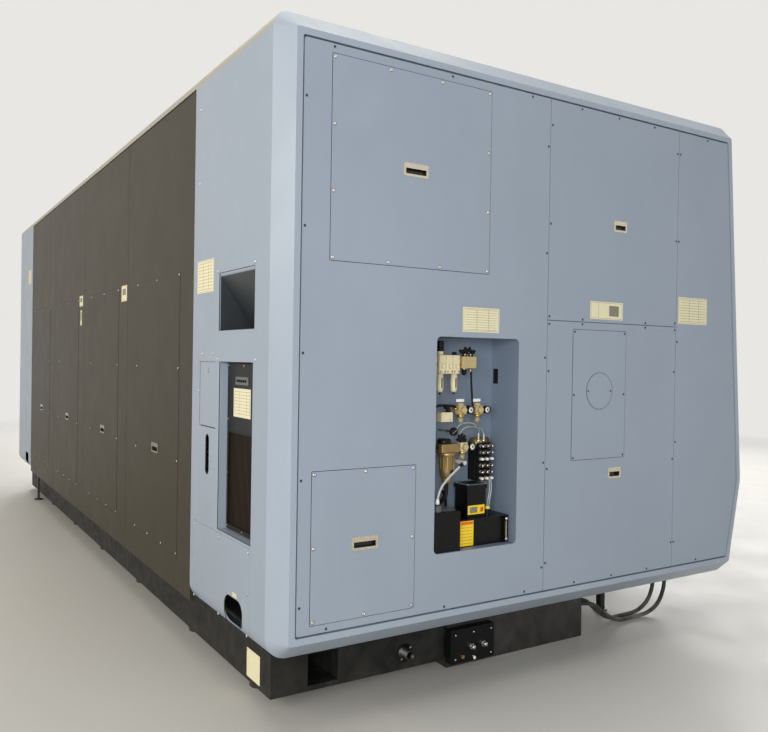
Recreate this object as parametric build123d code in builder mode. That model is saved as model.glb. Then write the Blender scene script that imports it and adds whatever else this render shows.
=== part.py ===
from build123d import *
import os
from math import atan, cos, pi, radians, sin, tan

# Multi-axis turning and milling centre in a full enclosure, in millimetres.
# +X runs along the machine from the service end to the far end, +Y to the rear, +Z up.
# The origin is on the floor under the middle of the machine.

# Enclosure, overall
LENGTH = 7900.0
DEPTH = 3394.0
HEIGHT = 3210.0
UNDERSIDE = 315.0
KNEE_HEIGHT = 930.0
FRONT_TOP_SETBACK = 166.0
FRONT_FOOT_SETBACK = 124.0
TOP_RADIUS = 75.0
BOTTOM_RADIUS = 110.0
KNEE_RADIUS = 250.0
FOOT_RADIUS = 80.0
SHEET = 3.0

# End caps and the flush panels in them
CAP_RUN = 150.0
CAP_REAR_INSET = 45.0
CAP_TOP_INSET = 117.0
CAP_FRONT_INSET = 170.0
CAP_BOTTOM_INSET = 103.0
LIP_WIDTH = 30.0
LIP_RADIUS = 12.0
GROOVE = 8.0
SEAM = 4.0
SEAT_WIDTH = 36.0
PANEL_SET = 4.0
PANEL_DEPTH = 25.0
PANEL_SKIN = 2.0
PLATE_SKIN = 1.5
POST_SIZE = 60.0
DIVIDER_REAR_Y = 169.0
DIVIDER_FRONT_Y = -873.0
MIDDLE_SEAM_Z = 1889.0

# Screwed plates on the service end, as centre and size in Y and Z
UPPER_PLATE = (1025.0, 2558.0, 902.0, 910.0)
LOWER_PLATE = (1274.5, 832.0, 549.0, 676.0)
INSPECTION_PLATE = (-229.0, 1491.0, 416.0, 710.0)
ROUND_COVER_Z = 1511.0
ROUND_COVER_RADIUS = 100.0
ROUND_COVER_SKIN = 1.5
PLATE_HOLE_MARGIN = 30.0

# Flush pull handles
HANDLE_WIDTH = 140.0
SMALL_HANDLE_WIDTH = 104.0
HANDLE_HEIGHT = 62.0
HANDLE_BEZEL = 2.5
HANDLE_RIM = 10.0
HANDLE_CUP = 20.0
HANDLE_WALL = 1.5
HANDLE_FIT = 0.3
UPPER_PANEL_HANDLE_YZ = (-376.0, 2436.0)
LOWER_PANEL_HANDLE_YZ = (-361.0, 1049.0)

# Pneumatic bay in the service end, as centre and size in Y and Z
BAY = (625.0, 1256.0, 522.0, 1054.0)
BAY_RADIUS = 25.0
BAY_DEPTH = 220.0
BAY_WALL = 2.0
BAY_FLANGE = 14.0
BAY_SLOT_SET = 188.0
BAY_SLOT_WIDTH = 42.0
BAY_SLOT_HEIGHT = 80.0
BAY_SLOT_Z = 1587.0

# Pneumatic and lubrication equipment in the bay
SERVICE_X = -3850.0
SERVICE_Y = (687.0, 817.0)
SERVICE_Z = (1600.0, 1696.0)
SERVICE_DEPTH = 50.0
SERVICE_BLOCKS = 3
SERVICE_BOWL_RADIUS = 17.0
SERVICE_BOWL = 96.0
SERVICE_CAP = 70.0
SHUT_OFF_Y = (582.0, 672.0)
SHUT_OFF_Z = (1628.0, 1690.0)
LINE_FILTER_YZ = (742.0, 1225.0)
LINE_FILTER_WIDTH = 116.0
LINE_FILTER_RADIUS = 44.0
LINE_FILTER_BOWL = 130.0
JUNCTION_YZ = (762.0, 1385.0)
REGULATORS = ((655.0, 1417.0), (548.0, 1417.0), (642.0, 1230.0))
REGULATOR_X = -3840.0
REGULATOR_SIZE = 46.0
REGULATOR_KNOB_RADIUS = 16.0
REGULATOR_KNOB = 14.0
REGULATOR_STEM_RADIUS = 5.0
REGULATOR_STEM = 18.0
REGULATOR_CUP_RADIUS = 15.0
REGULATOR_CUP = 44.0
GAUGE_RADIUS = 21.0
GAUGE_THICK = 28.0
GAUGE_REACH = 48.0
MANIFOLD_Y = (424.0, 520.0)
MANIFOLD_Z = (1040.0, 1242.0)
MANIFOLD_X = -3815.0
FITTING_RADIUS = 7.0
FITTING = 30.0
FITTING_ROWS = 6
FITTING_COLUMNS = 3
LUBE_TANK_Y = (368.0, 712.0)
LUBE_TANK_Z = 868.0
LUBE_FRONT_X = -3893.0
LUBE_PUMP_Y = (500.0, 620.0)
LUBE_PUMP_Z = 1034.0
LUBE_PUMP_X = (-3862.0, -3760.0)
RESERVOIR_Y = (716.0, 872.0)
RESERVOIR_Z = 925.0
RESERVOIR_X = -3932.0
FILLER_RADIUS = 21.0
FILLER = 38.0
HOSE_RADIUS = 6.0
HOSE_TOP = (-3905.0, 680.0, 1158.0)
HOSE_BEND = (-3905.0, 770.0, 1090.0)

# Rear side
COLUMN_END = 1173.0
FAR_COLUMN_START = 6832.0
REAR_PANEL_COUNT = 4
COLUMN_CORNER_RADIUS = 70.0
COLUMN_RETURN = 112.0
COLUMN_EDGE = 28.0
REAR_PLATE_WIDTH = 913.0
REAR_PLATE_BOTTOM = 510.0
REAR_PLATE_TOP = 2150.0
REAR_HANDLE_Z = 1091.0
SQUARE_RECESS = (544.0, 1946.0, 458.0, 292.0)
SQUARE_RECESS_DEPTH = 190.0
TALL_RECESS = (541.5, 1219.0, 431.0, 848.0)
TALL_RECESS_DEPTH = 165.0
RECESS_WALL = 2.0
RECESS_FLANGE = 12.0
WELD_GAP = 0.3
COOLER_SET = 44.0
COOLER_FIT = 6.0
COOLER_MARGIN = 20.0
COOLER_GRILLE_TOP = 1292.0
COOLER_GRILLE_DEPTH = 28.0
COOLER_FINS = 24
COOLER_FIN = 4.0
COOLER_FIN_SET = 6.0
HATCH = (930.0, 1470.0, 244.0, 340.0)
HATCH_THICK = 12.0
HATCH_GAP = 2.0
HATCH_SET = 3.0
HATCH_PIN_RADIUS = 3.0
HATCH_PIN_LENGTH = 12.0
LATCH_DROP = 45.0
LATCH_HEAD_RADIUS = 14.0
LATCH_HEAD = 2.5
LATCH_STEM_RADIUS = 6.0
LATCH_CAM_LENGTH = 58.0
LATCH_CAM_WIDTH = 14.0
LATCH_CAM_THICK = 3.0
SIGHT_SLOT = (922.0, 1156.0, 46.0, 204.0)
CABLE_COVER = (725.0, 565.0, 790.0, 430.0)
COVER_GAP = 1.5
COVER_LEDGE = 11.0
LEDGE_THICK = 2.0
CABLE_HOLE = (529.0, 436.0, 232.0, 132.0)
CABLE_HOLE_RADIUS = 60.0
FAR_CABLE_HOLE_X = 7105.0
FAR_COLUMN_SEAM_Z = 2352.0

# Frame inside the enclosure
FRAME_TUBE = 50.0
TOP_BEAM_SET = 85.0
FRONT_BEAM_SET = 80.0
LEG_SIZE = 40.0
LEG_FOOT_RADIUS = 45.0
LEG_FOOT = 12.0
LEG_X = (-3300.0, -1100.0, 1100.0, 3300.0)
LEG_Y = -979.0
REAR_LEG_X = 2734.0
BED_TIE_X = (-2200.0, 0.0, 2200.0)

# Roof
ROOF_SECTIONS = 4
ROOF_JOINT = 3.0
DUCT_X = 1500.0
DUCT_Y = 300.0
DUCT_RADIUS = 100.0
DUCT_WALL = 4.0
DUCT_HEIGHT = 60.0
DUCT_FLANGE_RADIUS = 150.0
DUCT_FLANGE = 8.0
DUCT_BOLT_CIRCLE = 130.0
DUCT_BOLT_RADIUS = 4.5
DUCT_BOLTS = 8

# Front side
DOOR_LEFT_X = -1650.0
DOOR_WIDTH = 1900.0
DOOR_SILL = 960.0
DOOR_TOP = 2650.0
DOOR_SET = 25.0
DOOR_THICK = 45.0
DOOR_SKIN = 3.0
DOOR_GAP = 5.0
DOOR_FRAME = 70.0
PARK_GAP = 8.0
TRACK_HEIGHT = 6.0
TRACK_WIDTH = 16.0
SLIDE_GAP = 0.3
WINDOW_WIDTH = 1060.0
WINDOW_HEIGHT = 860.0
WINDOW_Z = 1830.0
WINDOW_RADIUS = 45.0
WINDOW_LAP = 25.0
WINDOW_GLASS = 10.0
WINDOW_REBATE = 12.0
HANDLE_BAR_RADIUS = 14.0
HANDLE_BAR_LENGTH = 420.0
HANDLE_BAR_Z = 1560.0
HANDLE_BAR_INSET = 140.0
HANDLE_BAR_Y = -1676.0

# Swivelling operator panel in the right front wall
PANEL_LEFT_X = 2290.0
PANEL_WIDTH = 600.0
PANEL_HEIGHT = 820.0
PANEL_BOTTOM = 1120.0
PANEL_THICK = 110.0
PANEL_FACE_Y = -1600.0
PANEL_SHELL = 4.0
PANEL_MARGIN = 35.0
PANEL_VENTS = 6
PIVOT_INSET = 60.0
PIVOT_RADIUS = 12.0
PIVOT_BOSS_RADIUS = 25.0
PIVOT_BOSS = 20.0
FIT = 0.05
SCREEN_WIDTH = 420.0
SCREEN_HEIGHT = 300.0
SCREEN_SET = 4.0
KEY_WIDTH = 420.0
KEY_HEIGHT = 200.0
KEY_SIZE = 26.0
KEY_PITCH_X = 40.0
KEY_PITCH_Z = 36.0
KEY_COLUMNS = 10
KEY_ROWS = 5
KEY_RISE = 3.0
STOP_RADIUS = 20.0
STOP_STEM_RADIUS = 11.0
STOP_TRAVEL = 4.0
START_RADIUS = 13.0
START_TRAVEL = 3.0
KNOB_RADIUS = 20.0
KNOB_HEIGHT = 18.0
KNOB_STEM_RADIUS = 5.0
CONTROL_STEM = 30.0
CONTROL_X = 245.0
STOP_Z = 110.0
START_Z = -20.0
KNOB_Z = -140.0

# Chip pan under the working area
PAN_FRONT_Y = -1400.0
PAN_REAR_Y = -620.0
PAN_FRONT_HEIGHT = 260.0
PAN_REAR_HEIGHT = 50.0
CHIP_LEDGE = 130.0
PAN_SKIN = 4.0
GLAND_RADIUS = 22.0

# Power cables, each a free loop from a gland under the pan to the coolant tank
CABLE_RADIUS = 13.0
CABLE_SHARE = 0.45
CABLE_ROUTES = (
    (
        (-3540.0, -1330.0, 296.0), (-3540.0, -1330.0, 200.0), (-3545.0, -1300.0, 118.0),
        (-3550.0, -1238.0, 52.0), (-3552.0, -1130.0, 17.0), (-3542.0, -1000.0, 13.5),
        (-3550.0, -860.0, 14.0), (-3544.0, -740.0, 80.0), (-3540.0, -630.0, 172.0),
        (-3540.0, -500.0, 172.0),
    ),
    (
        (-3480.0, -1290.0, 296.0), (-3480.0, -1290.0, 200.0), (-3486.0, -1260.0, 118.0),
        (-3490.0, -1200.0, 54.0), (-3494.0, -1094.0, 17.0), (-3484.0, -970.0, 13.5),
        (-3492.0, -845.0, 14.0), (-3486.0, -732.0, 84.0), (-3480.0, -630.0, 180.0),
        (-3480.0, -500.0, 180.0),
    ),
)

# Bed
BED_END = 354.0
BED_REAR_SETBACK = 124.0
BED_REAR_UPPER_Y = 1480.0
BED_REAR_STEP_Z = 560.0
BED_FRONT_FOOT_Y = -482.0
BED_BOTTOM = 45.0
BED_REAR_TOP = 1000.0
BED_STEP_Y = 150.0
BED_SHELF_Z = 820.0
BED_SHELF_FRONT_Y = -1000.0
BED_OVERHANG_Z = 560.0
BED_TROUGH_DEPTH = 110.0
BED_CHAMFER = 90.0
POCKET_Y = 1292.0
POCKET_WIDTH = 167.0
POCKET_LOW = 70.0
POCKET_HIGH = 225.0
POCKET_DEPTH = 500.0
RAIL_WIDTH = 53.0
RAIL_HEIGHT = 44.0
RAIL_WAIST = 6.0
COLUMN_RAIL_REAR_Y = 1340.0
COLUMN_RAIL_FRONT_Y = 300.0
SHELF_RAIL_REAR_Y = -330.0
SHELF_RAIL_FRONT_Y = -910.0
RAIL_END_MARGIN = 240.0
BED_CELLS = 6
BED_RIB = 60.0
BED_CELL_TOP = 720.0
BED_FRONT_WALL = 150.0
BED_WEB_Y = 480.0
BED_REAR_WALL = 160.0
FOOT_X = (-3300.0, -2350.0, -1150.0, 0.0, 1150.0, 2350.0, 3300.0)
FOOT_Y = (-380.0, 1480.0)
FOOT_PAD_RADIUS = 70.0
FOOT_PAD = 22.0
FOOT_BOLT_RADIUS = 18.0
TANK_LENGTH = 900.0
TANK_INNER_Y = 540.0
TANK_HEIGHT = 296.0
TANK_CLEARANCE = 8.0

# Headstock, spindle and chuck
SPINDLE_Y = -620.0
SPINDLE_Z = 1250.0
HEADSTOCK_LEFT_X = -3100.0
HEADSTOCK_LENGTH = 1040.0
HEADSTOCK_WIDTH = 680.0
HEADSTOCK_TOP = 1600.0
HEADSTOCK_SHOULDER = 110.0
HEADSTOCK_CORNER = 20.0
SPINDLE_RADIUS = 120.0
SPINDLE_BORE_RADIUS = 52.0
NOSE_RADIUS = 165.0
NOSE_LENGTH = 40.0
CHUCK_RADIUS = 200.0
CHUCK_LENGTH = 190.0
ACTUATOR_RADIUS = 140.0
ACTUATOR_LENGTH = 180.0
THRUST_GAP = 0.3
JAW_WIDTH = 60.0
JAW_SLOT_DEPTH = 30.0
JAW_HEIGHT = 70.0
JAW_INNER = 75.0
JAW_OUTER = 185.0
JAW_STEP = 130.0
JAW_TRAVEL = 8.0
JAW_ANGLES = (90.0, 210.0, 330.0)

# Tailstock
TAILSTOCK_LEFT_X = 1900.0
TAILSTOCK_LENGTH = 760.0
TAILSTOCK_WIDTH = 690.0
TAILSTOCK_TOP = 1490.0
QUILL_RADIUS = 80.0
QUILL_NOSE = 140.0
QUILL_LENGTH = 640.0
QUILL_TRAVEL = 200.0
CENTRE_SHANK_RADIUS = 30.0
CENTRE_SHANK = 140.0
CENTRE_RADIUS = 48.0
CENTRE_COLLAR = 40.0
CENTRE_TIP = 80.0

# Travelling column, cross slide, ram and milling head
SADDLE_X = -300.0
SADDLE_LENGTH = 900.0
SADDLE_REAR_Y = 1470.0
SADDLE_FRONT_Y = 180.0
SADDLE_THICK = 130.0
RUNNER_SIDE = 22.0
RUNNER_DROP = 32.0
CROSS_RAIL_SPREAD = 640.0
CROSS_TRAVEL = 125.0
COLUMN_WIDTH = 800.0
COLUMN_REAR_Y = 1270.0
COLUMN_FRONT_Y = -60.0
COLUMN_TOP = 2740.0
COLUMN_SHOULDER_Z = 1560.0
COLUMN_TOP_DEPTH = 760.0
COLUMN_WALL = 60.0
RAM_RAIL_SPREAD = 460.0
RAM_WIDTH = 620.0
RAM_DEPTH = 270.0
RAM_BOTTOM = 1640.0
RAM_TOP = 2920.0
RAM_RIB = 40.0
HEAD_Z = 2000.0
HEAD_DRUM_RADIUS = 190.0
HEAD_DRUM = 90.0
SPIGOT_RADIUS = 120.0
SPIGOT = 70.0
HEAD_WIDTH = 300.0
HEAD_DEPTH = 300.0
HEAD_ABOVE = 330.0
HEAD_BELOW = 300.0
HEAD_CORNER = 60.0
TOOL_SHAFT_RADIUS = 60.0
TOOL_SHAFT = 420.0
TOOL_NOSE_RADIUS = 90.0
TOOL_NOSE_FLANGE = 24.0
TOOL_NOSE = 70.0
TOOL_TAPER_RADIUS = 34.0
TOOL_TAPER_DEPTH = 80.0

# Tool magazine on its pedestal
MAGAZINE_X = -3290.0
MAGAZINE_Y = 700.0
MAGAZINE_Z = 2300.0
MAGAZINE_RADIUS = 400.0
MAGAZINE_DISC = 36.0
MAGAZINE_POTS = 20
POT_CIRCLE = 345.0
POT_RADIUS = 34.0
POT_BORE = 24.0
POT_LENGTH = 110.0
PEDESTAL_WIDTH = 260.0
PEDESTAL_THICK = 80.0
MAGAZINE_SHAFT_RADIUS = 35.0

X_LEFT = -LENGTH / 2
X_RIGHT = LENGTH / 2
Y_REAR = DEPTH / 2
FRONT_SLOPE = FRONT_TOP_SETBACK / (HEIGHT - KNEE_HEIGHT)
FOOT_SLOPE = FRONT_FOOT_SETBACK / (KNEE_HEIGHT - UNDERSIDE)
FRONT_TURN = atan(FRONT_SLOPE)
KNEE_TANGENT = KNEE_RADIUS * tan((FRONT_TURN + atan(FOOT_SLOPE)) / 2)
KNEE_ROUNDING = KNEE_TANGENT * sin(FRONT_TURN) - KNEE_RADIUS * (1 - cos(FRONT_TURN))
Y_FRONT = -DEPTH / 2 - KNEE_ROUNDING
ROOF_EDGE = HEIGHT - TOP_RADIUS
SKIN_LEFT = X_LEFT + CAP_RUN
SKIN_RIGHT = X_RIGHT - CAP_RUN
PANEL_FACE_X = X_LEFT + PANEL_SET
PANEL_BACK_X = PANEL_FACE_X + PANEL_DEPTH
REAR_FACE_Y = Y_REAR - PANEL_SET
BED_LEFT = X_LEFT + BED_END
BED_RIGHT = X_RIGHT - BED_END
BED_REAR_Y = Y_REAR - BED_REAR_SETBACK

PANEL_BACK_Y = REAR_FACE_Y - PANEL_DEPTH
TOP_BEAM_Y = (Y_REAR - TOP_BEAM_SET - FRAME_TUBE, Y_REAR - TOP_BEAM_SET)
ROOF_FRONT_Y = Y_FRONT + FRONT_TOP_SETBACK
FRONT_BEAM_Y = (ROOF_FRONT_Y + FRONT_BEAM_SET, ROOF_FRONT_Y + FRONT_BEAM_SET + FRAME_TUBE)

os.makedirs("parts", exist_ok=True)


def finish(builder, name):
    """Label a finished piece and write it."""
    builder.part.label = name
    export_step(builder.part, f"parts/{name}.step")


# Section of the enclosure


def shell_corners(rear, top, front, bottom):
    """Corners of the enclosure's section, from the rear foot over the top to the front foot."""
    low = UNDERSIDE + bottom
    high = HEIGHT - top
    return [
        (Y_REAR - rear, low),
        (Y_REAR - rear, high),
        (Y_FRONT + front + FRONT_SLOPE * (high - KNEE_HEIGHT), high),
        (Y_FRONT + front, KNEE_HEIGHT),
        (Y_FRONT + front + FOOT_SLOPE * (KNEE_HEIGHT - low), low),
    ]


def full_section(inset=0.0):
    """Corners and corner radii of the section at its full size, or smaller by a wall."""
    radii = [BOTTOM_RADIUS, TOP_RADIUS, TOP_RADIUS, KNEE_RADIUS, FOOT_RADIUS]
    return shell_corners(*[inset] * 4), [radius - inset for radius in radii]


def lip_section(inset=0.0):
    """Corners and corner radii of the end cap's lip, or smaller by a margin."""
    base = (CAP_REAR_INSET, CAP_TOP_INSET, CAP_FRONT_INSET, CAP_BOTTOM_INSET)
    radii = [LIP_RADIUS, LIP_RADIUS, LIP_RADIUS, KNEE_RADIUS, LIP_RADIUS]
    return shell_corners(*[side + inset for side in base]), radii


def outline(x, section):
    """A section as a face at x."""
    points, radii = section
    with BuildSketch(Plane.YZ.offset(x)) as face:
        with BuildLine():
            FilletPolyline(*points, radius=radii, close=True)
        make_face()
    return face.sketch


def ring(x, outer, inner):
    """What lies between two sections at x."""
    points, radii = outer
    inner_points, inner_radii = inner
    with BuildSketch(Plane.YZ.offset(x)) as face:
        with BuildLine():
            FilletPolyline(*points, radius=radii, close=True)
        make_face()
        with BuildLine():
            FilletPolyline(*inner_points, radius=inner_radii, close=True)
        make_face(mode=Mode.SUBTRACT)
    return face.sketch


def front_y(z):
    """Y of the front skin's outer face at a height above the knee."""
    return Y_FRONT + FRONT_SLOPE * (z - KNEE_HEIGHT)


def block(x, y, z, mode=Mode.ADD):
    """A box between two X, two Y and two Z values."""
    centre = ((x[0] + x[1]) / 2, (y[0] + y[1]) / 2, (z[0] + z[1]) / 2)
    with Locations(centre):
        Box(x[1] - x[0], y[1] - y[0], z[1] - z[0], mode=mode)


def grown(span, margin):
    """A span made longer by a margin at both ends."""
    return span[0] - margin, span[1] + margin


def prism_x(points, x, radius=0.0, mode=Mode.ADD):
    """A profile in Y and Z, drawn out along X."""
    with BuildSketch(Plane.YZ.offset(x[0])) as face:
        with BuildLine():
            FilletPolyline(*points, radius=radius, close=True)
        make_face()
    extrude(face.sketch, amount=x[1] - x[0], mode=mode)


def plate_x(place, x, radius=0.0, grow=0.0, mode=Mode.ADD):
    """A flat plate facing X, from its centre and size in Y and Z."""
    y, z, width, height = place
    with BuildSketch(Plane.YZ.offset(x[0])) as face:
        with Locations((y, z)):
            if radius > 0:
                RectangleRounded(width + 2 * grow, height + 2 * grow, radius)
            else:
                Rectangle(width + 2 * grow, height + 2 * grow)
    extrude(face.sketch, amount=x[1] - x[0], mode=mode)


def rear_plane(y):
    """A plane facing the rear at y, with its first axis along +X."""
    return Plane(origin=(0, y, 0), x_dir=(1, 0, 0), z_dir=(0, -1, 0))


def plate_y(place, y, radius=0.0, grow=0.0, mode=Mode.ADD):
    """A flat plate facing Y, from its centre and size in X and Z; x counts from the service end."""
    x, z, width, height = place
    with BuildSketch(rear_plane(y[1])) as face:
        with Locations((X_LEFT + x, z)):
            if radius > 0:
                RectangleRounded(width + 2 * grow, height + 2 * grow, radius)
            else:
                Rectangle(width + 2 * grow, height + 2 * grow)
    extrude(face.sketch, amount=y[1] - y[0], mode=mode)


def rod_x(x, y, z, radius, mode=Mode.ADD):
    """A round bar along X."""
    with BuildSketch(Plane.YZ.offset(x[0])) as face:
        with Locations((y, z)):
            Circle(radius)
    extrude(face.sketch, amount=x[1] - x[0], mode=mode)


def rod_y(x, y, z, radius, mode=Mode.ADD):
    """A round bar along Y."""
    with BuildSketch(rear_plane(y[1])) as face:
        with Locations((x, z)):
            Circle(radius)
    extrude(face.sketch, amount=y[1] - y[0], mode=mode)


def rod_z(x, y, z, radius, mode=Mode.ADD):
    """A round bar along Z."""
    with BuildSketch(Plane.XY.offset(z[0])) as face:
        with Locations((x, y)):
            Circle(radius)
    extrude(face.sketch, amount=z[1] - z[0], mode=mode)


def curved_skin(x, y, z, depth=0.0, thick=SHEET, mode=Mode.ADD):
    """A stretch of sheet that follows the enclosure's section at a depth behind its surface."""
    points, radii = full_section(depth)
    inner_points, inner_radii = full_section(depth + thick)
    with BuildSketch(Plane.YZ.offset(x[0])) as face:
        with BuildLine():
            FilletPolyline(*points, radius=radii, close=True)
        make_face()
        with BuildLine():
            FilletPolyline(*inner_points, radius=inner_radii, close=True)
        make_face(mode=Mode.SUBTRACT)
        with Locations(((y[0] + y[1]) / 2, (z[0] + z[1]) / 2)):
            Rectangle(y[1] - y[0], z[1] - z[0], mode=Mode.INTERSECT)
    extrude(face.sketch, amount=x[1] - x[0], mode=mode)


def slope_plane(depth):
    """The plane of the front skin above the knee, moved inward by a depth."""
    outward = (0, -cos(FRONT_TURN), sin(FRONT_TURN))
    return Plane(origin=(0, Y_FRONT, KNEE_HEIGHT), x_dir=(1, 0, 0), z_dir=outward).offset(-depth)


def up_slope(z):
    """Distance along the front slope from the knee to a height."""
    return (z - KNEE_HEIGHT) / cos(FRONT_TURN)


def front_slab(x, up, depth, radius=0.0, mode=Mode.ADD):
    """A slab in the front slope, between two X values, two distances up it and two depths."""
    with BuildSketch(slope_plane(depth[0])) as face:
        with Locations(((x[0] + x[1]) / 2, (up[0] + up[1]) / 2)):
            if radius > 0:
                RectangleRounded(x[1] - x[0], up[1] - up[0], radius)
            else:
                Rectangle(x[1] - x[0], up[1] - up[0])
    extrude(face.sketch, amount=depth[0] - depth[1], mode=mode)


# End caps, each a bevelled shell with a lip, a dark groove and a seat for flush panels


def cap_shape(side):
    """One end cap; side is -1 at the service end and 1 at the far end."""
    with BuildPart() as cap:
        face_x = X_LEFT
        loft([outline(face_x, lip_section()).face(), outline(SKIN_LEFT, full_section()).face()])
        near = outline(face_x + SHEET, lip_section(SHEET)).face()
        loft([near, outline(SKIN_LEFT, full_section(SHEET)).face()], mode=Mode.SUBTRACT)
        extrude(outline(face_x, lip_section(LIP_WIDTH)), amount=CAP_RUN, mode=Mode.SUBTRACT)
        seat = PANEL_BACK_X - face_x
        wall = ring(face_x, lip_section(LIP_WIDTH - SHEET), lip_section(LIP_WIDTH))
        extrude(wall, amount=seat + SHEET)
        flange_edge = lip_section(LIP_WIDTH + GROOVE + SEAT_WIDTH)
        extrude(ring(PANEL_BACK_X, lip_section(LIP_WIDTH - SHEET), flange_edge), amount=SHEET)
        behind = (PANEL_BACK_X, PANEL_BACK_X + POST_SIZE / 2)
        half = POST_SIZE / 2
        for y in (DIVIDER_REAR_Y, DIVIDER_FRONT_Y):
            block(behind, (y - half, y + half), (FIELD_BOTTOM, FIELD_TOP))
        block(behind, (DIVIDER_FRONT_Y, DIVIDER_REAR_Y), (MIDDLE_SEAM_Z - half, MIDDLE_SEAM_Z + half))
        if side > 0:
            mirror(about=Plane.YZ, mode=Mode.REPLACE)
    return cap.part


def field_face(x, inset, y, z):
    """Part of the field inside the groove, between two Y and two Z values."""
    points, radii = lip_section(LIP_WIDTH + GROOVE + inset)
    with BuildSketch(Plane.YZ.offset(x)) as face:
        with BuildLine():
            FilletPolyline(*points, radius=radii, close=True)
        make_face()
        with Locations(((y[0] + y[1]) / 2, (z[0] + z[1]) / 2)):
            Rectangle(y[1] - y[0] - 2 * inset, z[1] - z[0] - 2 * inset, mode=Mode.INTERSECT)
    return face.sketch


def end_panel(y, z):
    """A flush panel folded from sheet, as a shallow tray open to the back."""
    extrude(field_face(PANEL_FACE_X, 0.0, y, z), amount=PANEL_DEPTH)
    hollow = field_face(PANEL_FACE_X + PANEL_SKIN, PANEL_SKIN, y, z)
    extrude(hollow, amount=PANEL_DEPTH, mode=Mode.SUBTRACT)


def handle_shape(width):
    """A flush pull handle facing -X at the origin: a bezel round a cup with a finger lip."""
    with BuildPart() as handle:
        cup = (0.0, 0.0, width - 2 * HANDLE_RIM, HANDLE_HEIGHT - 2 * HANDLE_RIM)
        plate_x((0.0, 0.0, width, HANDLE_HEIGHT), (-HANDLE_BEZEL, 0.0), HANDLE_RIM * 0.8)
        plate_x(cup, (0.0, HANDLE_CUP), HANDLE_RIM / 2)
        inner = (-HANDLE_BEZEL, HANDLE_CUP - HANDLE_WALL)
        plate_x(cup, inner, HANDLE_RIM / 2 - HANDLE_WALL, -HANDLE_WALL, Mode.SUBTRACT)
        lip_z = HANDLE_HEIGHT / 2 - HANDLE_RIM
        lip_half = width / 2 - HANDLE_RIM
        lip_drop = (HANDLE_HEIGHT - 2 * HANDLE_RIM) * 0.35
        block((-HANDLE_BEZEL, 0.0), (-lip_half, lip_half), (lip_z - lip_drop, lip_z))
    return handle.part


def handle_hole(width, y, z, x):
    """The hole in a sheet facing X that a flush handle's cup drops into."""
    hole = (y, z, width - 2 * HANDLE_RIM, HANDLE_HEIGHT - 2 * HANDLE_RIM)
    plate_x(hole, x, HANDLE_RIM / 2 + HANDLE_FIT, HANDLE_FIT, Mode.SUBTRACT)


def window_under(place, x):
    """The opening in a panel behind a screwed plate."""
    plate_x(place, x, 0.0, -PLATE_HOLE_MARGIN, Mode.SUBTRACT)


FIELD_INSET = LIP_WIDTH + GROOVE
FIELD_REAR = Y_REAR - CAP_REAR_INSET - FIELD_INSET
FIELD_TOP = HEIGHT - CAP_TOP_INSET - FIELD_INSET
FIELD_BOTTOM = UNDERSIDE + CAP_BOTTOM_INSET + FIELD_INSET
THROUGH = (PANEL_FACE_X - 1.0, PANEL_BACK_X + 1.0)
REAR_STRIP_Y = (DIVIDER_REAR_Y + SEAM / 2, FIELD_REAR)
MIDDLE_STRIP_Y = (DIVIDER_FRONT_Y + SEAM / 2, DIVIDER_REAR_Y - SEAM / 2)
FRONT_STRIP_Y = (Y_FRONT, DIVIDER_FRONT_Y - SEAM / 2)
FULL_Z = (FIELD_BOTTOM, FIELD_TOP)
UPPER_Z = (MIDDLE_SEAM_Z + SEAM / 2, FIELD_TOP)
LOWER_Z = (FIELD_BOTTOM, MIDDLE_SEAM_Z - SEAM / 2)
PLATE_X = (PANEL_FACE_X - PLATE_SKIN, PANEL_FACE_X)

with BuildPart() as left_end_cap:
    add(cap_shape(-1))
finish(left_end_cap, "left_end_cap")

with BuildPart() as right_end_cap:
    add(cap_shape(1))
finish(right_end_cap, "right_end_cap")

with BuildPart() as left_rear_panel:
    end_panel(REAR_STRIP_Y, FULL_Z)
    plate_x(BAY, THROUGH, BAY_RADIUS, 0.0, Mode.SUBTRACT)
    window_under(UPPER_PLATE, THROUGH)
    window_under(LOWER_PLATE, THROUGH)
finish(left_rear_panel, "left_rear_panel")

with BuildPart() as left_upper_panel:
    end_panel(MIDDLE_STRIP_Y, UPPER_Z)
    handle_hole(SMALL_HANDLE_WIDTH, *UPPER_PANEL_HANDLE_YZ, THROUGH)
finish(left_upper_panel, "left_upper_panel")

with BuildPart() as left_lower_panel:
    end_panel(MIDDLE_STRIP_Y, LOWER_Z)
    window_under(INSPECTION_PLATE, THROUGH)
    handle_hole(SMALL_HANDLE_WIDTH, *LOWER_PANEL_HANDLE_YZ, THROUGH)
finish(left_lower_panel, "left_lower_panel")

with BuildPart() as left_front_panel:
    end_panel(FRONT_STRIP_Y, FULL_Z)
finish(left_front_panel, "left_front_panel")

with BuildPart() as right_end_panels:
    end_panel(REAR_STRIP_Y, FULL_Z)
    end_panel(MIDDLE_STRIP_Y, FULL_Z)
    end_panel(FRONT_STRIP_Y, FULL_Z)
    mirror(about=Plane.YZ, mode=Mode.REPLACE)
finish(right_end_panels, "right_end_panels")

with BuildPart() as upper_access_plate:
    plate_x(UPPER_PLATE, PLATE_X)
    handle_hole(HANDLE_WIDTH, UPPER_PLATE[0], UPPER_PLATE[1], THROUGH)
    handle_hole(HANDLE_WIDTH, UPPER_PLATE[0], UPPER_PLATE[1], PLATE_X)
finish(upper_access_plate, "upper_access_plate")

with BuildPart() as lower_access_plate:
    plate_x(LOWER_PLATE, PLATE_X)
    handle_hole(HANDLE_WIDTH, LOWER_PLATE[0], LOWER_PLATE[1], PLATE_X)
finish(lower_access_plate, "lower_access_plate")

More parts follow.
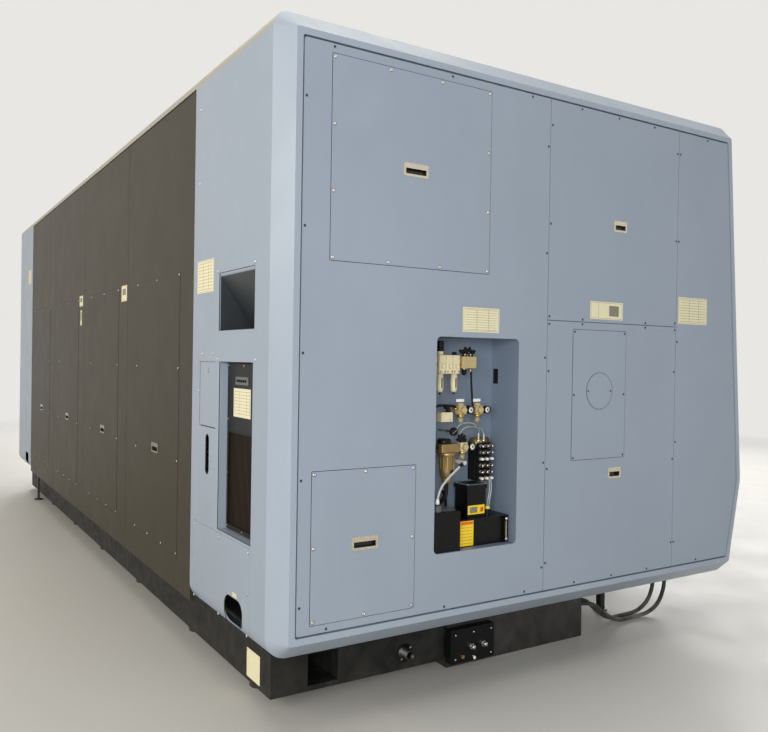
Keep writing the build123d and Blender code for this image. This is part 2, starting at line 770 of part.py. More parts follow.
with BuildPart() as inspection_plate:
    plate_x(INSPECTION_PLATE, PLATE_X)
    rod_x(PLATE_X, INSPECTION_PLATE[0], ROUND_COVER_Z, ROUND_COVER_RADIUS * 0.8, Mode.SUBTRACT)
finish(inspection_plate, "inspection_plate")

with BuildPart() as round_cover:
    cover_x = (PLATE_X[0] - ROUND_COVER_SKIN, PLATE_X[0])
    rod_x(cover_x, INSPECTION_PLATE[0], ROUND_COVER_Z, ROUND_COVER_RADIUS)
finish(round_cover, "round_cover")

# Rear side


LINER_FRONT_Y = Y_REAR - SHEET - WELD_GAP


def skin_hole(place, radius=0.0, grow=0.0):
    """A hole through the rear skin."""
    plate_y(place, (Y_REAR - SHEET - 1.0, Y_REAR + 1.0), radius, grow, Mode.SUBTRACT)


def liner_flanges(place):
    """The two side flanges by which a recess's liner is welded behind the skin."""
    x, z, width, height = place
    flanges = (x, z, width + 2 * (RECESS_WALL + RECESS_FLANGE), height)
    plate_y(flanges, (LINER_FRONT_Y - RECESS_WALL, LINER_FRONT_Y))


def box_liner(place, depth):
    """A folded box behind a hole in the rear skin, open to the outside."""
    back = Y_REAR - depth
    plate_y(place, (back - RECESS_WALL, LINER_FRONT_Y), 0.0, RECESS_WALL)
    liner_flanges(place)
    plate_y(place, (back, LINER_FRONT_Y + WELD_GAP / 2), 0.0, 0.0, Mode.SUBTRACT)


def hood_liner(place, depth):
    """A hood behind a hole in the rear skin, whose back slopes inward from its top edge."""
    x, z, width, height = place
    across = (X_LEFT + x - width / 2, X_LEFT + x + width / 2)
    top = z + height / 2
    floor = z - height / 2
    back = Y_REAR - depth
    wall = RECESS_WALL
    outside = [
        (LINER_FRONT_Y, top),
        (back - wall, floor),
        (back - wall, floor - wall),
        (LINER_FRONT_Y, floor - wall),
    ]
    prism_x(outside, grown(across, wall))
    liner_flanges(place)
    slope = depth / height
    drop = (Y_REAR - LINER_FRONT_Y) / slope + 2 * wall
    inside = [
        (LINER_FRONT_Y + WELD_GAP / 2, top - drop),
        (back, floor),
        (LINER_FRONT_Y + WELD_GAP / 2, floor),
    ]
    prism_x(inside, across, 0.0, Mode.SUBTRACT)


def cover_zone(margin):
    """X and Z of the cable cover's place, grown by a margin."""
    x, z, width, height = CABLE_COVER
    across = (X_LEFT + x - width / 2 - margin, X_LEFT + x + width / 2 + margin)
    return across, (z - height / 2 - margin, z + height / 2 + margin)


def rear_column(x):
    """The skin of one rear corner column between two X values."""
    curved_skin(x, (Y_REAR - COLUMN_RETURN, Y_REAR + 1.0), (UNDERSIDE - 1.0, ROOF_EDGE))


def column_edge(x, out):
    """The column's folded edge beside the dark panels and its rounded lower corner."""
    edge_y = (Y_REAR - COLUMN_EDGE, Y_REAR - SHEET / 2)
    inner_x = x - out * SHEET
    block((min(x, inner_x), max(x, inner_x)), edge_y, (UNDERSIDE + BOTTOM_RADIUS, ROOF_EDGE))
    radius = COLUMN_CORNER_RADIUS
    with BuildSketch(rear_plane(Y_REAR + 1.0)) as corner:
        with Locations((x - out * radius / 2, UNDERSIDE + radius / 2)):
            Rectangle(radius, radius)
        with Locations((x - out * radius, UNDERSIDE + radius)):
            Circle(radius, mode=Mode.SUBTRACT)
    extrude(corner.sketch, amount=COLUMN_RETURN, mode=Mode.SUBTRACT)


COLUMN_X = (SKIN_LEFT, X_LEFT + COLUMN_END - SEAM / 2)
FAR_COLUMN_X = (X_LEFT + FAR_COLUMN_START + SEAM / 2, SKIN_RIGHT)
COVER_X, COVER_Z = cover_zone(0.0)
REAR_BAND = (Y_REAR - COLUMN_RETURN, Y_REAR + 1.0)
HATCH_BACK_Y = Y_REAR - HATCH_SET - HATCH_THICK
HATCH_PIN_Y = Y_REAR - HATCH_SET - HATCH_THICK / 2
HATCH_PIN_Z = HATCH[1] - HATCH[3] / 2 + HATCH_THICK / 2
HATCH_LEFT = X_LEFT + HATCH[0] - HATCH[2] / 2
HATCH_RIGHT = X_LEFT + HATCH[0] + HATCH[2] / 2
LATCH_X = X_LEFT + HATCH[0]
LATCH_Z = HATCH[1] + HATCH[3] / 2 - LATCH_DROP

with BuildPart() as rear_left_column:
    rear_column(COLUMN_X)
    column_edge(COLUMN_X[1], 1)
    skin_hole(SQUARE_RECESS)
    skin_hole(TALL_RECESS)
    skin_hole(SIGHT_SLOT, SIGHT_SLOT[2] / 2 - 0.5)
    skin_hole(HATCH, 0.0, HATCH_GAP)
    lug_y = (HATCH_PIN_Y - HATCH_THICK / 2, Y_REAR - SHEET / 2)
    lug_z = (HATCH_PIN_Z - HATCH_THICK, HATCH_PIN_Z + HATCH_THICK)
    pin_far = HATCH_GAP + HATCH_PIN_LENGTH
    block((HATCH_LEFT - pin_far, HATCH_LEFT - HATCH_GAP), lug_y, lug_z)
    block((HATCH_RIGHT + HATCH_GAP, HATCH_RIGHT + pin_far), lug_y, lug_z)
    pin_x = (HATCH_LEFT - pin_far - 1.0, HATCH_RIGHT + pin_far + 1.0)
    rod_x(pin_x, HATCH_PIN_Y, HATCH_PIN_Z, HATCH_PIN_RADIUS + FIT, Mode.SUBTRACT)
    curved_skin(COVER_X, REAR_BAND, COVER_Z, 0.0, SHEET + 1.0, Mode.SUBTRACT)
    ledge_x, ledge_z = cover_zone(COVER_LEDGE)
    curved_skin(ledge_x, REAR_BAND, ledge_z, SHEET, LEDGE_THICK)
    inner_x, inner_z = cover_zone(-COVER_LEDGE)
    curved_skin(inner_x, REAR_BAND, inner_z, SHEET / 2, SHEET + LEDGE_THICK, Mode.SUBTRACT)
    hood_liner(SQUARE_RECESS, SQUARE_RECESS_DEPTH)
    box_liner(TALL_RECESS, TALL_RECESS_DEPTH)
finish(rear_left_column, "rear_left_column")

with BuildPart() as cable_cover:
    plate_x_range = (COVER_X[0] + COVER_GAP, COVER_X[1] - COVER_GAP)
    plate_z_range = (COVER_Z[0] + COVER_GAP, COVER_Z[1] - COVER_GAP)
    curved_skin(plate_x_range, REAR_BAND, plate_z_range)
    plate_y(CABLE_HOLE, REAR_BAND, CABLE_HOLE_RADIUS, 0.0, Mode.SUBTRACT)
finish(cable_cover, "cable_cover")

with BuildPart() as rear_right_column:
    rear_column(FAR_COLUMN_X)
    column_edge(FAR_COLUMN_X[0], -1)
    far_hole = (FAR_CABLE_HOLE_X, CABLE_HOLE[1], CABLE_HOLE[2], CABLE_HOLE[3])
    plate_y(far_hole, REAR_BAND, CABLE_HOLE_RADIUS, 0.0, Mode.SUBTRACT)
    groove_y = (Y_REAR - SHEET / 2, Y_REAR + 1.0)
    groove_z = (FAR_COLUMN_SEAM_Z - SEAM / 2, FAR_COLUMN_SEAM_Z + SEAM / 2)
    block(FAR_COLUMN_X, groove_y, groove_z, Mode.SUBTRACT)
finish(rear_right_column, "rear_right_column")

with BuildPart() as service_hatch:
    plate_y(HATCH, (HATCH_BACK_Y, Y_REAR - HATCH_SET))
    foot = service_hatch.edges().filter_by(Axis.X).group_by(Axis.Z)[0]
    fillet(foot, radius=HATCH_THICK / 2 - 0.5)
    pin_x = (HATCH_LEFT - HATCH_GAP - HATCH_PIN_LENGTH, HATCH_RIGHT + HATCH_GAP + HATCH_PIN_LENGTH)
    rod_x(pin_x, HATCH_PIN_Y, HATCH_PIN_Z, HATCH_PIN_RADIUS)
    stem_y = (HATCH_BACK_Y - 1.0, Y_REAR)
    rod_y(LATCH_X, stem_y, LATCH_Z, LATCH_STEM_RADIUS + FIT, Mode.SUBTRACT)
finish(service_hatch, "service_hatch")

with BuildPart() as hatch_latch:
    face_y = Y_REAR - HATCH_SET
    cam_y = (HATCH_BACK_Y - THRUST_GAP - LATCH_CAM_THICK, HATCH_BACK_Y - THRUST_GAP)
    rod_y(LATCH_X, (cam_y[0], face_y + THRUST_GAP), LATCH_Z, LATCH_STEM_RADIUS)
    head_y = (face_y + THRUST_GAP, face_y + THRUST_GAP + LATCH_HEAD)
    rod_y(LATCH_X, head_y, LATCH_Z, LATCH_HEAD_RADIUS)
    arm_x = (LATCH_X - LATCH_CAM_WIDTH / 2, LATCH_X + LATCH_CAM_LENGTH)
    block(arm_x, cam_y, (LATCH_Z - LATCH_CAM_WIDTH / 2, LATCH_Z + LATCH_CAM_WIDTH / 2))
    slot_z = (LATCH_Z - LATCH_HEAD_RADIUS * 0.75, LATCH_Z + LATCH_HEAD_RADIUS * 0.75)
    slot_y = (head_y[1] - LATCH_HEAD * 0.6, head_y[1])
    block((LATCH_X - 1.5, LATCH_X + 1.5), slot_y, slot_z, Mode.SUBTRACT)
finish(hatch_latch, "hatch_latch")

COOLER_BACK_Y = Y_REAR - TALL_RECESS_DEPTH
COOLER_FRONT_Y = Y_REAR - COOLER_SET
COOLER_LEFT = X_LEFT + TALL_RECESS[0] - TALL_RECESS[2] / 2 + COOLER_FIT
COOLER_RIGHT = X_LEFT + TALL_RECESS[0] + TALL_RECESS[2] / 2 - COOLER_FIT
COOLER_FOOT = TALL_RECESS[1] - TALL_RECESS[3] / 2 + COOLER_FIT

with BuildPart() as panel_cooler:
    plate_y(TALL_RECESS, (COOLER_BACK_Y, COOLER_FRONT_Y), 0.0, -COOLER_FIT)
    grille_x = (COOLER_LEFT + COOLER_MARGIN, COOLER_RIGHT - COOLER_MARGIN)
    grille_z = (COOLER_FOOT + COOLER_MARGIN, COOLER_GRILLE_TOP)
    grille_back = COOLER_FRONT_Y - COOLER_GRILLE_DEPTH
    block(grille_x, (grille_back, COOLER_FRONT_Y + 1.0), grille_z, Mode.SUBTRACT)
    fin_pitch = (grille_x[1] - grille_x[0]) / (COOLER_FINS + 1)
    fin_y = (grille_back - 1.0, COOLER_FRONT_Y - COOLER_FIN_SET)
    for fin in range(1, COOLER_FINS + 1):
        fin_x = grille_x[0] + fin * fin_pitch
        block((fin_x - COOLER_FIN / 2, fin_x + COOLER_FIN / 2), fin_y, grown(grille_z, 1.0))
finish(panel_cooler, "panel_cooler")

REAR_PANELS_START = COLUMN_END + SEAM / 2
REAR_PANEL_PITCH = (FAR_COLUMN_START - COLUMN_END) / REAR_PANEL_COUNT
REAR_PANEL_Z = (UNDERSIDE, ROOF_EDGE - SEAM)
REAR_PLATE_Z = (REAR_PLATE_BOTTOM + REAR_PLATE_TOP) / 2
REAR_PLATE_HEIGHT = REAR_PLATE_TOP - REAR_PLATE_BOTTOM
REAR_PLATE_Y = (REAR_FACE_Y, REAR_FACE_Y + PLATE_SKIN)


def rear_centre(index):
    """Distance of one dark panel's centre from the service end."""
    return COLUMN_END + (index + 0.5) * REAR_PANEL_PITCH


with BuildPart() as rear_panels:
    for index in range(REAR_PANEL_COUNT):
        middle_z = (REAR_PANEL_Z[0] + REAR_PANEL_Z[1]) / 2
        tall = REAR_PANEL_Z[1] - REAR_PANEL_Z[0]
        tray = (rear_centre(index), middle_z, REAR_PANEL_PITCH - SEAM, tall)
        plate_y(tray, (REAR_FACE_Y - PANEL_DEPTH, REAR_FACE_Y))
        hollow_y = (REAR_FACE_Y - PANEL_DEPTH, REAR_FACE_Y - PANEL_SKIN)
        plate_y(tray, hollow_y, 0.0, -PANEL_SKIN, Mode.SUBTRACT)
        plate = (rear_centre(index), REAR_PLATE_Z, REAR_PLATE_WIDTH, REAR_PLATE_HEIGHT)
        behind_y = (REAR_FACE_Y - PANEL_DEPTH, REAR_FACE_Y + 1.0)
        plate_y(plate, behind_y, 0.0, -PLATE_HOLE_MARGIN, Mode.SUBTRACT)
finish(rear_panels, "rear_panels")

with BuildPart() as rear_access_plates:
    for index in range(REAR_PANEL_COUNT):
        plate = (rear_centre(index), REAR_PLATE_Z, REAR_PLATE_WIDTH, REAR_PLATE_HEIGHT)
        plate_y(plate, REAR_PLATE_Y)
        cup_size = (HANDLE_WIDTH - 2 * HANDLE_RIM, HANDLE_HEIGHT - 2 * HANDLE_RIM)
        cup = (rear_centre(index), REAR_HANDLE_Z, *cup_size)
        plate_y(cup, REAR_PLATE_Y, HANDLE_RIM / 2 + HANDLE_FIT, HANDLE_FIT, Mode.SUBTRACT)
finish(rear_access_plates, "rear_access_plates")

with BuildPart() as pull_handles:
    wide = handle_shape(HANDLE_WIDTH)
    small = handle_shape(SMALL_HANDLE_WIDTH)
    add(wide.moved(Location((PLATE_X[0], UPPER_PLATE[0], UPPER_PLATE[1]))))
    add(wide.moved(Location((PLATE_X[0], LOWER_PLATE[0], LOWER_PLATE[1]))))
    add(small.moved(Location((PANEL_FACE_X, *UPPER_PANEL_HANDLE_YZ))))
    add(small.moved(Location((PANEL_FACE_X, *LOWER_PANEL_HANDLE_YZ))))
    for index in range(REAR_PANEL_COUNT):
        place = (X_LEFT + rear_centre(index), REAR_PLATE_Y[1], REAR_HANDLE_Z)
        add(wide.moved(Location(place, (0, 0, -90))))
finish(pull_handles, "pull_handles")

# Roof

ROOF_LENGTH = (SKIN_RIGHT - SKIN_LEFT - ROOF_JOINT * (ROOF_SECTIONS - 1)) / ROOF_SECTIONS
ROOF_UNDER = HEIGHT - SHEET

with BuildPart() as roof_panels:
    for index in range(ROOF_SECTIONS):
        left = SKIN_LEFT + index * (ROOF_LENGTH + ROOF_JOINT)
        curved_skin((left, left + ROOF_LENGTH), (Y_FRONT, Y_REAR + 1.0), (ROOF_EDGE, HEIGHT + 1.0))
        for rib_x in (left, left + ROOF_LENGTH - SHEET):
            rib_y = (FRONT_BEAM_Y[1], TOP_BEAM_Y[0])
            block((rib_x, rib_x + SHEET), rib_y, (ROOF_UNDER - 40.0, ROOF_UNDER + SHEET / 2))
    stub_z = (ROOF_UNDER - DUCT_HEIGHT, ROOF_UNDER)
    rod_z(DUCT_X, DUCT_Y, stub_z, DUCT_RADIUS + DUCT_WALL)
    rod_z(DUCT_X, DUCT_Y, (ROOF_UNDER - DUCT_FLANGE, ROOF_UNDER), DUCT_FLANGE_RADIUS)
    bore_z = (stub_z[0] - 1.0, HEIGHT + 1.0)
    rod_z(DUCT_X, DUCT_Y, bore_z, DUCT_RADIUS, Mode.SUBTRACT)
    with BuildSketch(Plane.XY.offset(ROOF_UNDER - DUCT_FLANGE - 1.0)) as bolts:
        with Locations((DUCT_X, DUCT_Y)):
            with PolarLocations(DUCT_BOLT_CIRCLE, DUCT_BOLTS, start_angle=22.5):
                Circle(DUCT_BOLT_RADIUS)
    extrude(bolts.sketch, amount=DUCT_FLANGE + SHEET + 2.0, mode=Mode.SUBTRACT)
finish(roof_panels, "roof_panels")

# Front side

OPENING_LEFT = DOOR_LEFT_X
OPENING_MIDDLE = DOOR_LEFT_X + DOOR_WIDTH
OPENING_RIGHT = OPENING_MIDDLE + DOOR_WIDTH
SILL_UP = up_slope(DOOR_SILL)
TOP_UP = up_slope(DOOR_TOP)
DOOR_DEPTH = (DOOR_SET, DOOR_SET + DOOR_THICK)
PARK_DEPTH = (DOOR_DEPTH[1] + PARK_GAP, DOOR_DEPTH[1] + PARK_GAP + SHEET)
TRACK_DEPTH = (DOOR_SET + (DOOR_THICK - TRACK_WIDTH) / 2, DOOR_SET + (DOOR_THICK + TRACK_WIDTH) / 2)
DOOR_UP = (SILL_UP + DOOR_GAP, TOP_UP - DOOR_GAP)
TRACK_RISE = DOOR_GAP + TRACK_HEIGHT
FRONT_BAND = (Y_FRONT - 1.0, Y_FRONT + FRONT_TOP_SETBACK + TOP_RADIUS)
TOE_BAND = (Y_FRONT - 1.0, Y_FRONT + FRONT_FOOT_SETBACK + FOOT_RADIUS + CHIP_LEDGE)

with BuildPart() as front_covers:
    curved_skin((SKIN_LEFT, SKIN_RIGHT), TOE_BAND, (UNDERSIDE - 1.0, DOOR_SILL))
    curved_skin((SKIN_LEFT, SKIN_RIGHT), FRONT_BAND, (DOOR_TOP, ROOF_EDGE))
    ledge_depth = (0.0, PARK_DEPTH[1])
    front_slab((OPENING_LEFT, OPENING_RIGHT), (SILL_UP - SHEET, SILL_UP), ledge_depth)
    front_slab((OPENING_LEFT, OPENING_RIGHT), (TOP_UP, TOP_UP + SHEET), ledge_depth)
    front_slab((OPENING_LEFT, OPENING_RIGHT), (SILL_UP - 1.0, SILL_UP + TRACK_RISE), TRACK_DEPTH)
    front_slab((OPENING_LEFT, OPENING_RIGHT), (TOP_UP - TRACK_RISE, TOP_UP + 1.0), TRACK_DEPTH)
finish(front_covers, "front_covers")

RECESS_X = (PANEL_LEFT_X - PANEL_MARGIN, PANEL_LEFT_X + PANEL_WIDTH + PANEL_MARGIN)
RECESS_Z = (PANEL_BOTTOM - PANEL_MARGIN, PANEL_BOTTOM + PANEL_HEIGHT + PANEL_MARGIN)
RECESS_BACK_Y = PANEL_FACE_Y + PANEL_THICK + PANEL_MARGIN
PIVOT_X = PANEL_LEFT_X + PANEL_WIDTH - PIVOT_INSET
PIVOT_Y = PANEL_FACE_Y + PANEL_THICK / 2
PIVOT_SOCKETS = (
    (RECESS_Z[0], RECESS_Z[0] + PIVOT_BOSS),
    (RECESS_Z[1] - PIVOT_BOSS, RECESS_Z[1]),
)

with BuildPart() as front_walls:
    curved_skin((SKIN_LEFT, OPENING_LEFT), FRONT_BAND, (DOOR_SILL, DOOR_TOP))
    curved_skin((OPENING_RIGHT, SKIN_RIGHT), FRONT_BAND, (DOOR_SILL, DOOR_TOP))
    return_up = (SILL_UP + DOOR_GAP, TOP_UP)
    return_depth = (SHEET / 2, PARK_DEPTH[1])
    front_slab((OPENING_LEFT - SHEET, OPENING_LEFT), return_up, return_depth)
    front_slab((OPENING_RIGHT, OPENING_RIGHT + SHEET), return_up, return_depth)
    front_slab((OPENING_MIDDLE - DOOR_FRAME, OPENING_RIGHT + SHEET), (SILL_UP, TOP_UP), PARK_DEPTH)
    wall = SHEET
    outer_x = (RECESS_X[0] - wall, RECESS_X[1] + wall)
    outer_z = (RECESS_Z[0] - wall, RECESS_Z[1] + wall)
    block(outer_x, (front_y(RECESS_Z[1]) + wall, RECESS_BACK_Y + wall), outer_z)
    block(RECESS_X, (Y_FRONT - 1.0, RECESS_BACK_Y), RECESS_Z, Mode.SUBTRACT)
    for socket_z in PIVOT_SOCKETS:
        rod_z(PIVOT_X, PIVOT_Y, socket_z, PIVOT_BOSS_RADIUS)
        rod_z(PIVOT_X, PIVOT_Y, socket_z, PIVOT_RADIUS + FIT, Mode.SUBTRACT)
    rim_y = (front_y(RECESS_Z[0]), front_y(RECESS_Z[1]) + 2 * wall)
    for rim_z in ((outer_z[0], RECESS_Z[0]), (RECESS_Z[1], outer_z[1])):
        block(outer_x, (front_y(rim_z[0]) + wall / 2, rim_y[1]), rim_z)
    for rim_x in ((outer_x[0], RECESS_X[0]), (RECESS_X[1], outer_x[1])):
        rim = [
            (front_y(outer_z[0]) + wall / 2, outer_z[0]),
            (rim_y[1], outer_z[0]),
            (rim_y[1], outer_z[1]),
            (front_y(outer_z[1]) + wall / 2, outer_z[1]),
        ]
        prism_x(rim, rim_x)
finish(front_walls, "front_walls")

DOOR_X = (OPENING_LEFT + DOOR_GAP, OPENING_MIDDLE)
DOOR_CENTRE_X = (DOOR_X[0] + DOOR_X[1]) / 2
WINDOW_UP = up_slope(WINDOW_Z)
WINDOW_X = (DOOR_CENTRE_X - WINDOW_WIDTH / 2, DOOR_CENTRE_X + WINDOW_WIDTH / 2)
WINDOW_SPAN = (WINDOW_UP - WINDOW_HEIGHT / 2, WINDOW_UP + WINDOW_HEIGHT / 2)
GLASS_DEPTH = (DOOR_SET + DOOR_SKIN, DOOR_SET + DOOR_SKIN + WINDOW_GLASS)


with BuildPart() as sliding_door:
    front_slab(DOOR_X, DOOR_UP, DOOR_DEPTH)
    hollow = (DOOR_DEPTH[0] + DOOR_SKIN, DOOR_DEPTH[1])
    groove_wall = TRACK_HEIGHT + 2 * DOOR_SKIN
    hollow_up = (DOOR_UP[0] + groove_wall, DOOR_UP[1] - groove_wall)
    front_slab(grown(DOOR_X, -DOOR_SKIN), hollow_up, hollow, 0.0, Mode.SUBTRACT)
    frame_margin = WINDOW_LAP + WINDOW_REBATE
    frame_depth = (DOOR_DEPTH[0], GLASS_DEPTH[1])
    front_slab(grown(WINDOW_X, frame_margin), grown(WINDOW_SPAN, frame_margin), frame_depth, WINDOW_RADIUS)
    front_slab(
        grown(WINDOW_X, WINDOW_LAP + FIT), grown(WINDOW_SPAN, WINDOW_LAP + FIT),
        GLASS_DEPTH, WINDOW_RADIUS, Mode.SUBTRACT,
    )
    front_slab(WINDOW_X, WINDOW_SPAN, (0.0, GLASS_DEPTH[1]), WINDOW_RADIUS, Mode.SUBTRACT)
    groove_depth = grown(TRACK_DEPTH, SLIDE_GAP)
    groove = TRACK_HEIGHT + SLIDE_GAP
    long_x = grown(DOOR_X, 1.0)
    front_slab(long_x, (DOOR_UP[0] - 1.0, DOOR_UP[0] + groove), groove_depth, 0.0, Mode.SUBTRACT)
    front_slab(long_x, (DOOR_UP[1] - groove, DOOR_UP[1] + 1.0), groove_depth, 0.0, Mode.SUBTRACT)
    bar_x = DOOR_X[0] + HANDLE_BAR_INSET
    bar_z = (HANDLE_BAR_Z - HANDLE_BAR_LENGTH / 2, HANDLE_BAR_Z + HANDLE_BAR_LENGTH / 2)
    rod_z(bar_x, HANDLE_BAR_Y, bar_z, HANDLE_BAR_RADIUS)
    for end, inward in ((bar_z[0], 1), (bar_z[1], -1)):
        stand_z = end + inward * 2 * HANDLE_BAR_RADIUS
        stand_y = (HANDLE_BAR_Y, front_y(stand_z) + DOOR_SET + DOOR_SKIN)
        rod_y(bar_x, stand_y, stand_z, HANDLE_BAR_RADIUS * 0.7)
finish(sliding_door, "sliding_door")

with BuildPart() as door_window:
    front_slab(grown(WINDOW_X, WINDOW_LAP), grown(WINDOW_SPAN, WINDOW_LAP), GLASS_DEPTH, WINDOW_RADIUS)
finish(door_window, "door_window")

# Swivelling operator panel and its controls

PANEL_X = (PANEL_LEFT_X, PANEL_LEFT_X + PANEL_WIDTH)
PANEL_Y = (PANEL_FACE_Y, PANEL_FACE_Y + PANEL_THICK)
PANEL_Z = (PANEL_BOTTOM, PANEL_BOTTOM + PANEL_HEIGHT)
PANEL_MIDDLE_X = PANEL_LEFT_X + PANEL_WIDTH / 2
PANEL_MIDDLE_Z = PANEL_BOTTOM + PANEL_HEIGHT / 2
SCREEN_X = PANEL_LEFT_X + PANEL_MARGIN + SCREEN_WIDTH / 2
SCREEN_Z = PANEL_Z[1] - PANEL_MARGIN - SCREEN_HEIGHT / 2
KEYS_Z = SCREEN_Z - SCREEN_HEIGHT / 2 - PANEL_MARGIN - KEY_HEIGHT / 2
STOP_PLACE = (PANEL_MIDDLE_X + CONTROL_X, PANEL_MIDDLE_Z + STOP_Z)
START_PLACE = (PANEL_MIDDLE_X + CONTROL_X, PANEL_MIDDLE_Z + START_Z)
KNOB_PLACE = (PANEL_MIDDLE_X + CONTROL_X, PANEL_MIDDLE_Z + KNOB_Z)

with BuildPart() as operator_panel:
    block(PANEL_X, PANEL_Y, PANEL_Z)
    rim = operator_panel.edges().filter_by(Axis.Y)
    fillet(rim, radius=PANEL_MARGIN / 2)
    hollow_y = grown(PANEL_Y, -PANEL_SHELL)
    block(grown(PANEL_X, -PANEL_SHELL), hollow_y, grown(PANEL_Z, -PANEL_SHELL), Mode.SUBTRACT)
    for vent in range(PANEL_VENTS):
        vent_z = PANEL_Z[0] + PANEL_HEIGHT * (vent + 1) / (PANEL_VENTS + 1)
        vent_y = (hollow_y[1] - 1.0, PANEL_Y[1] + 1.0)
        block(grown(PANEL_X, -PANEL_WIDTH / 4), vent_y, (vent_z - 4.0, vent_z + 4.0), Mode.SUBTRACT)
    pin_ends = (RECESS_Z[0] + 1.0, RECESS_Z[1] - 1.0)
    rod_z(PIVOT_X, PIVOT_Y, (pin_ends[0], PANEL_Z[0] + PANEL_SHELL), PIVOT_RADIUS)
    rod_z(PIVOT_X, PIVOT_Y, (PANEL_Z[1] - PANEL_SHELL, pin_ends[1]), PIVOT_RADIUS)
    screen_x = (SCREEN_X - SCREEN_WIDTH / 2, SCREEN_X + SCREEN_WIDTH / 2)
    screen_z = (SCREEN_Z - SCREEN_HEIGHT / 2, SCREEN_Z + SCREEN_HEIGHT / 2)
    block(grown(screen_x, 12.0), (PANEL_Y[0] - SCREEN_SET, PANEL_Y[0]), grown(screen_z, 12.0))
    block(screen_x, (PANEL_Y[0] - SCREEN_SET, PANEL_Y[0]), screen_z, Mode.SUBTRACT)
    for row in range(KEY_ROWS):
        for column_index in range(KEY_COLUMNS):
            key_x = SCREEN_X + (column_index - (KEY_COLUMNS - 1) / 2) * KEY_PITCH_X
            key_z = KEYS_Z + (row - (KEY_ROWS - 1) / 2) * KEY_PITCH_Z
            half = KEY_SIZE / 2
            key_y = (PANEL_Y[0] - KEY_RISE, PANEL_Y[0])
            block((key_x - half, key_x + half), key_y, (key_z - half, key_z + half))
    through_y = (PANEL_Y[0] - 1.0, hollow_y[0] + 1.0)
    rod_y(STOP_PLACE[0], through_y, STOP_PLACE[1], STOP_STEM_RADIUS + FIT, Mode.SUBTRACT)
    rod_y(START_PLACE[0], through_y, START_PLACE[1], START_RADIUS * 0.6 + FIT, Mode.SUBTRACT)
    rod_y(KNOB_PLACE[0], through_y, KNOB_PLACE[1], KNOB_STEM_RADIUS + FIT, Mode.SUBTRACT)
finish(operator_panel, "operator_panel")


def push_control(place, head_radius, stem_radius, travel, head_height):
    """A sprung button: head, stem through the panel's face, and a collar behind it."""
    x, z = place
    face = PANEL_Y[0]
    head_y = (face - travel - SLIDE_GAP - head_height, face - travel - SLIDE_GAP)
    rod_y(x, head_y, z, head_radius)
    rod_y(x, (head_y[1], face + CONTROL_STEM), z, stem_radius)
    collar = face + PANEL_SHELL + SLIDE_GAP
    rod_y(x, (collar, collar + SHEET), z, stem_radius + SHEET)


with BuildPart() as emergency_stop:
    push_control(STOP_PLACE, STOP_RADIUS, STOP_STEM_RADIUS, STOP_TRAVEL, STOP_RADIUS * 0.6)
    crown = emergency_stop.edges().filter_by(GeomType.CIRCLE).group_by(Axis.Y)[0]
    fillet(crown, radius=STOP_RADIUS * 0.3)
finish(emergency_stop, "emergency_stop")

with BuildPart() as start_button:
    push_control(START_PLACE, START_RADIUS, START_RADIUS * 0.6, START_TRAVEL, START_RADIUS * 0.4)
finish(start_button, "start_button")

with BuildPart() as feed_knob:
    knob_y = (PANEL_Y[0] - SLIDE_GAP - KNOB_HEIGHT, PANEL_Y[0] - SLIDE_GAP)
    rod_y(KNOB_PLACE[0], knob_y, KNOB_PLACE[1], KNOB_RADIUS)
    grips = feed_knob.edges().filter_by(GeomType.CIRCLE).group_by(Axis.Y)[0]
    chamfer(grips, length=KNOB_HEIGHT * 0.15)
    rod_y(KNOB_PLACE[0], (knob_y[1], PANEL_Y[0] + CONTROL_STEM), KNOB_PLACE[1], KNOB_STEM_RADIUS)
    mark_x = (KNOB_PLACE[0] - 1.5, KNOB_PLACE[0] + 1.5)
    mark_z = (KNOB_PLACE[1] + KNOB_RADIUS * 0.3, KNOB_PLACE[1] + KNOB_RADIUS)
    block(mark_x, (knob_y[0] - 1.0, knob_y[0] + 1.5), mark_z, Mode.SUBTRACT)
finish(feed_knob, "feed_knob")

# Frame inside the enclosure, chip pan and feet

POST_Y = (PANEL_BACK_Y - FRAME_TUBE, PANEL_BACK_Y)
FRAME_FOOT = UNDERSIDE + FRAME_TUBE / 2
BEAM_TOP = ROOF_UNDER
REAR_BEAM_X = (X_LEFT + COLUMN_END, X_LEFT + FAR_COLUMN_START)
WEDGE_FOOT = UNDERSIDE - FRAME_TUBE

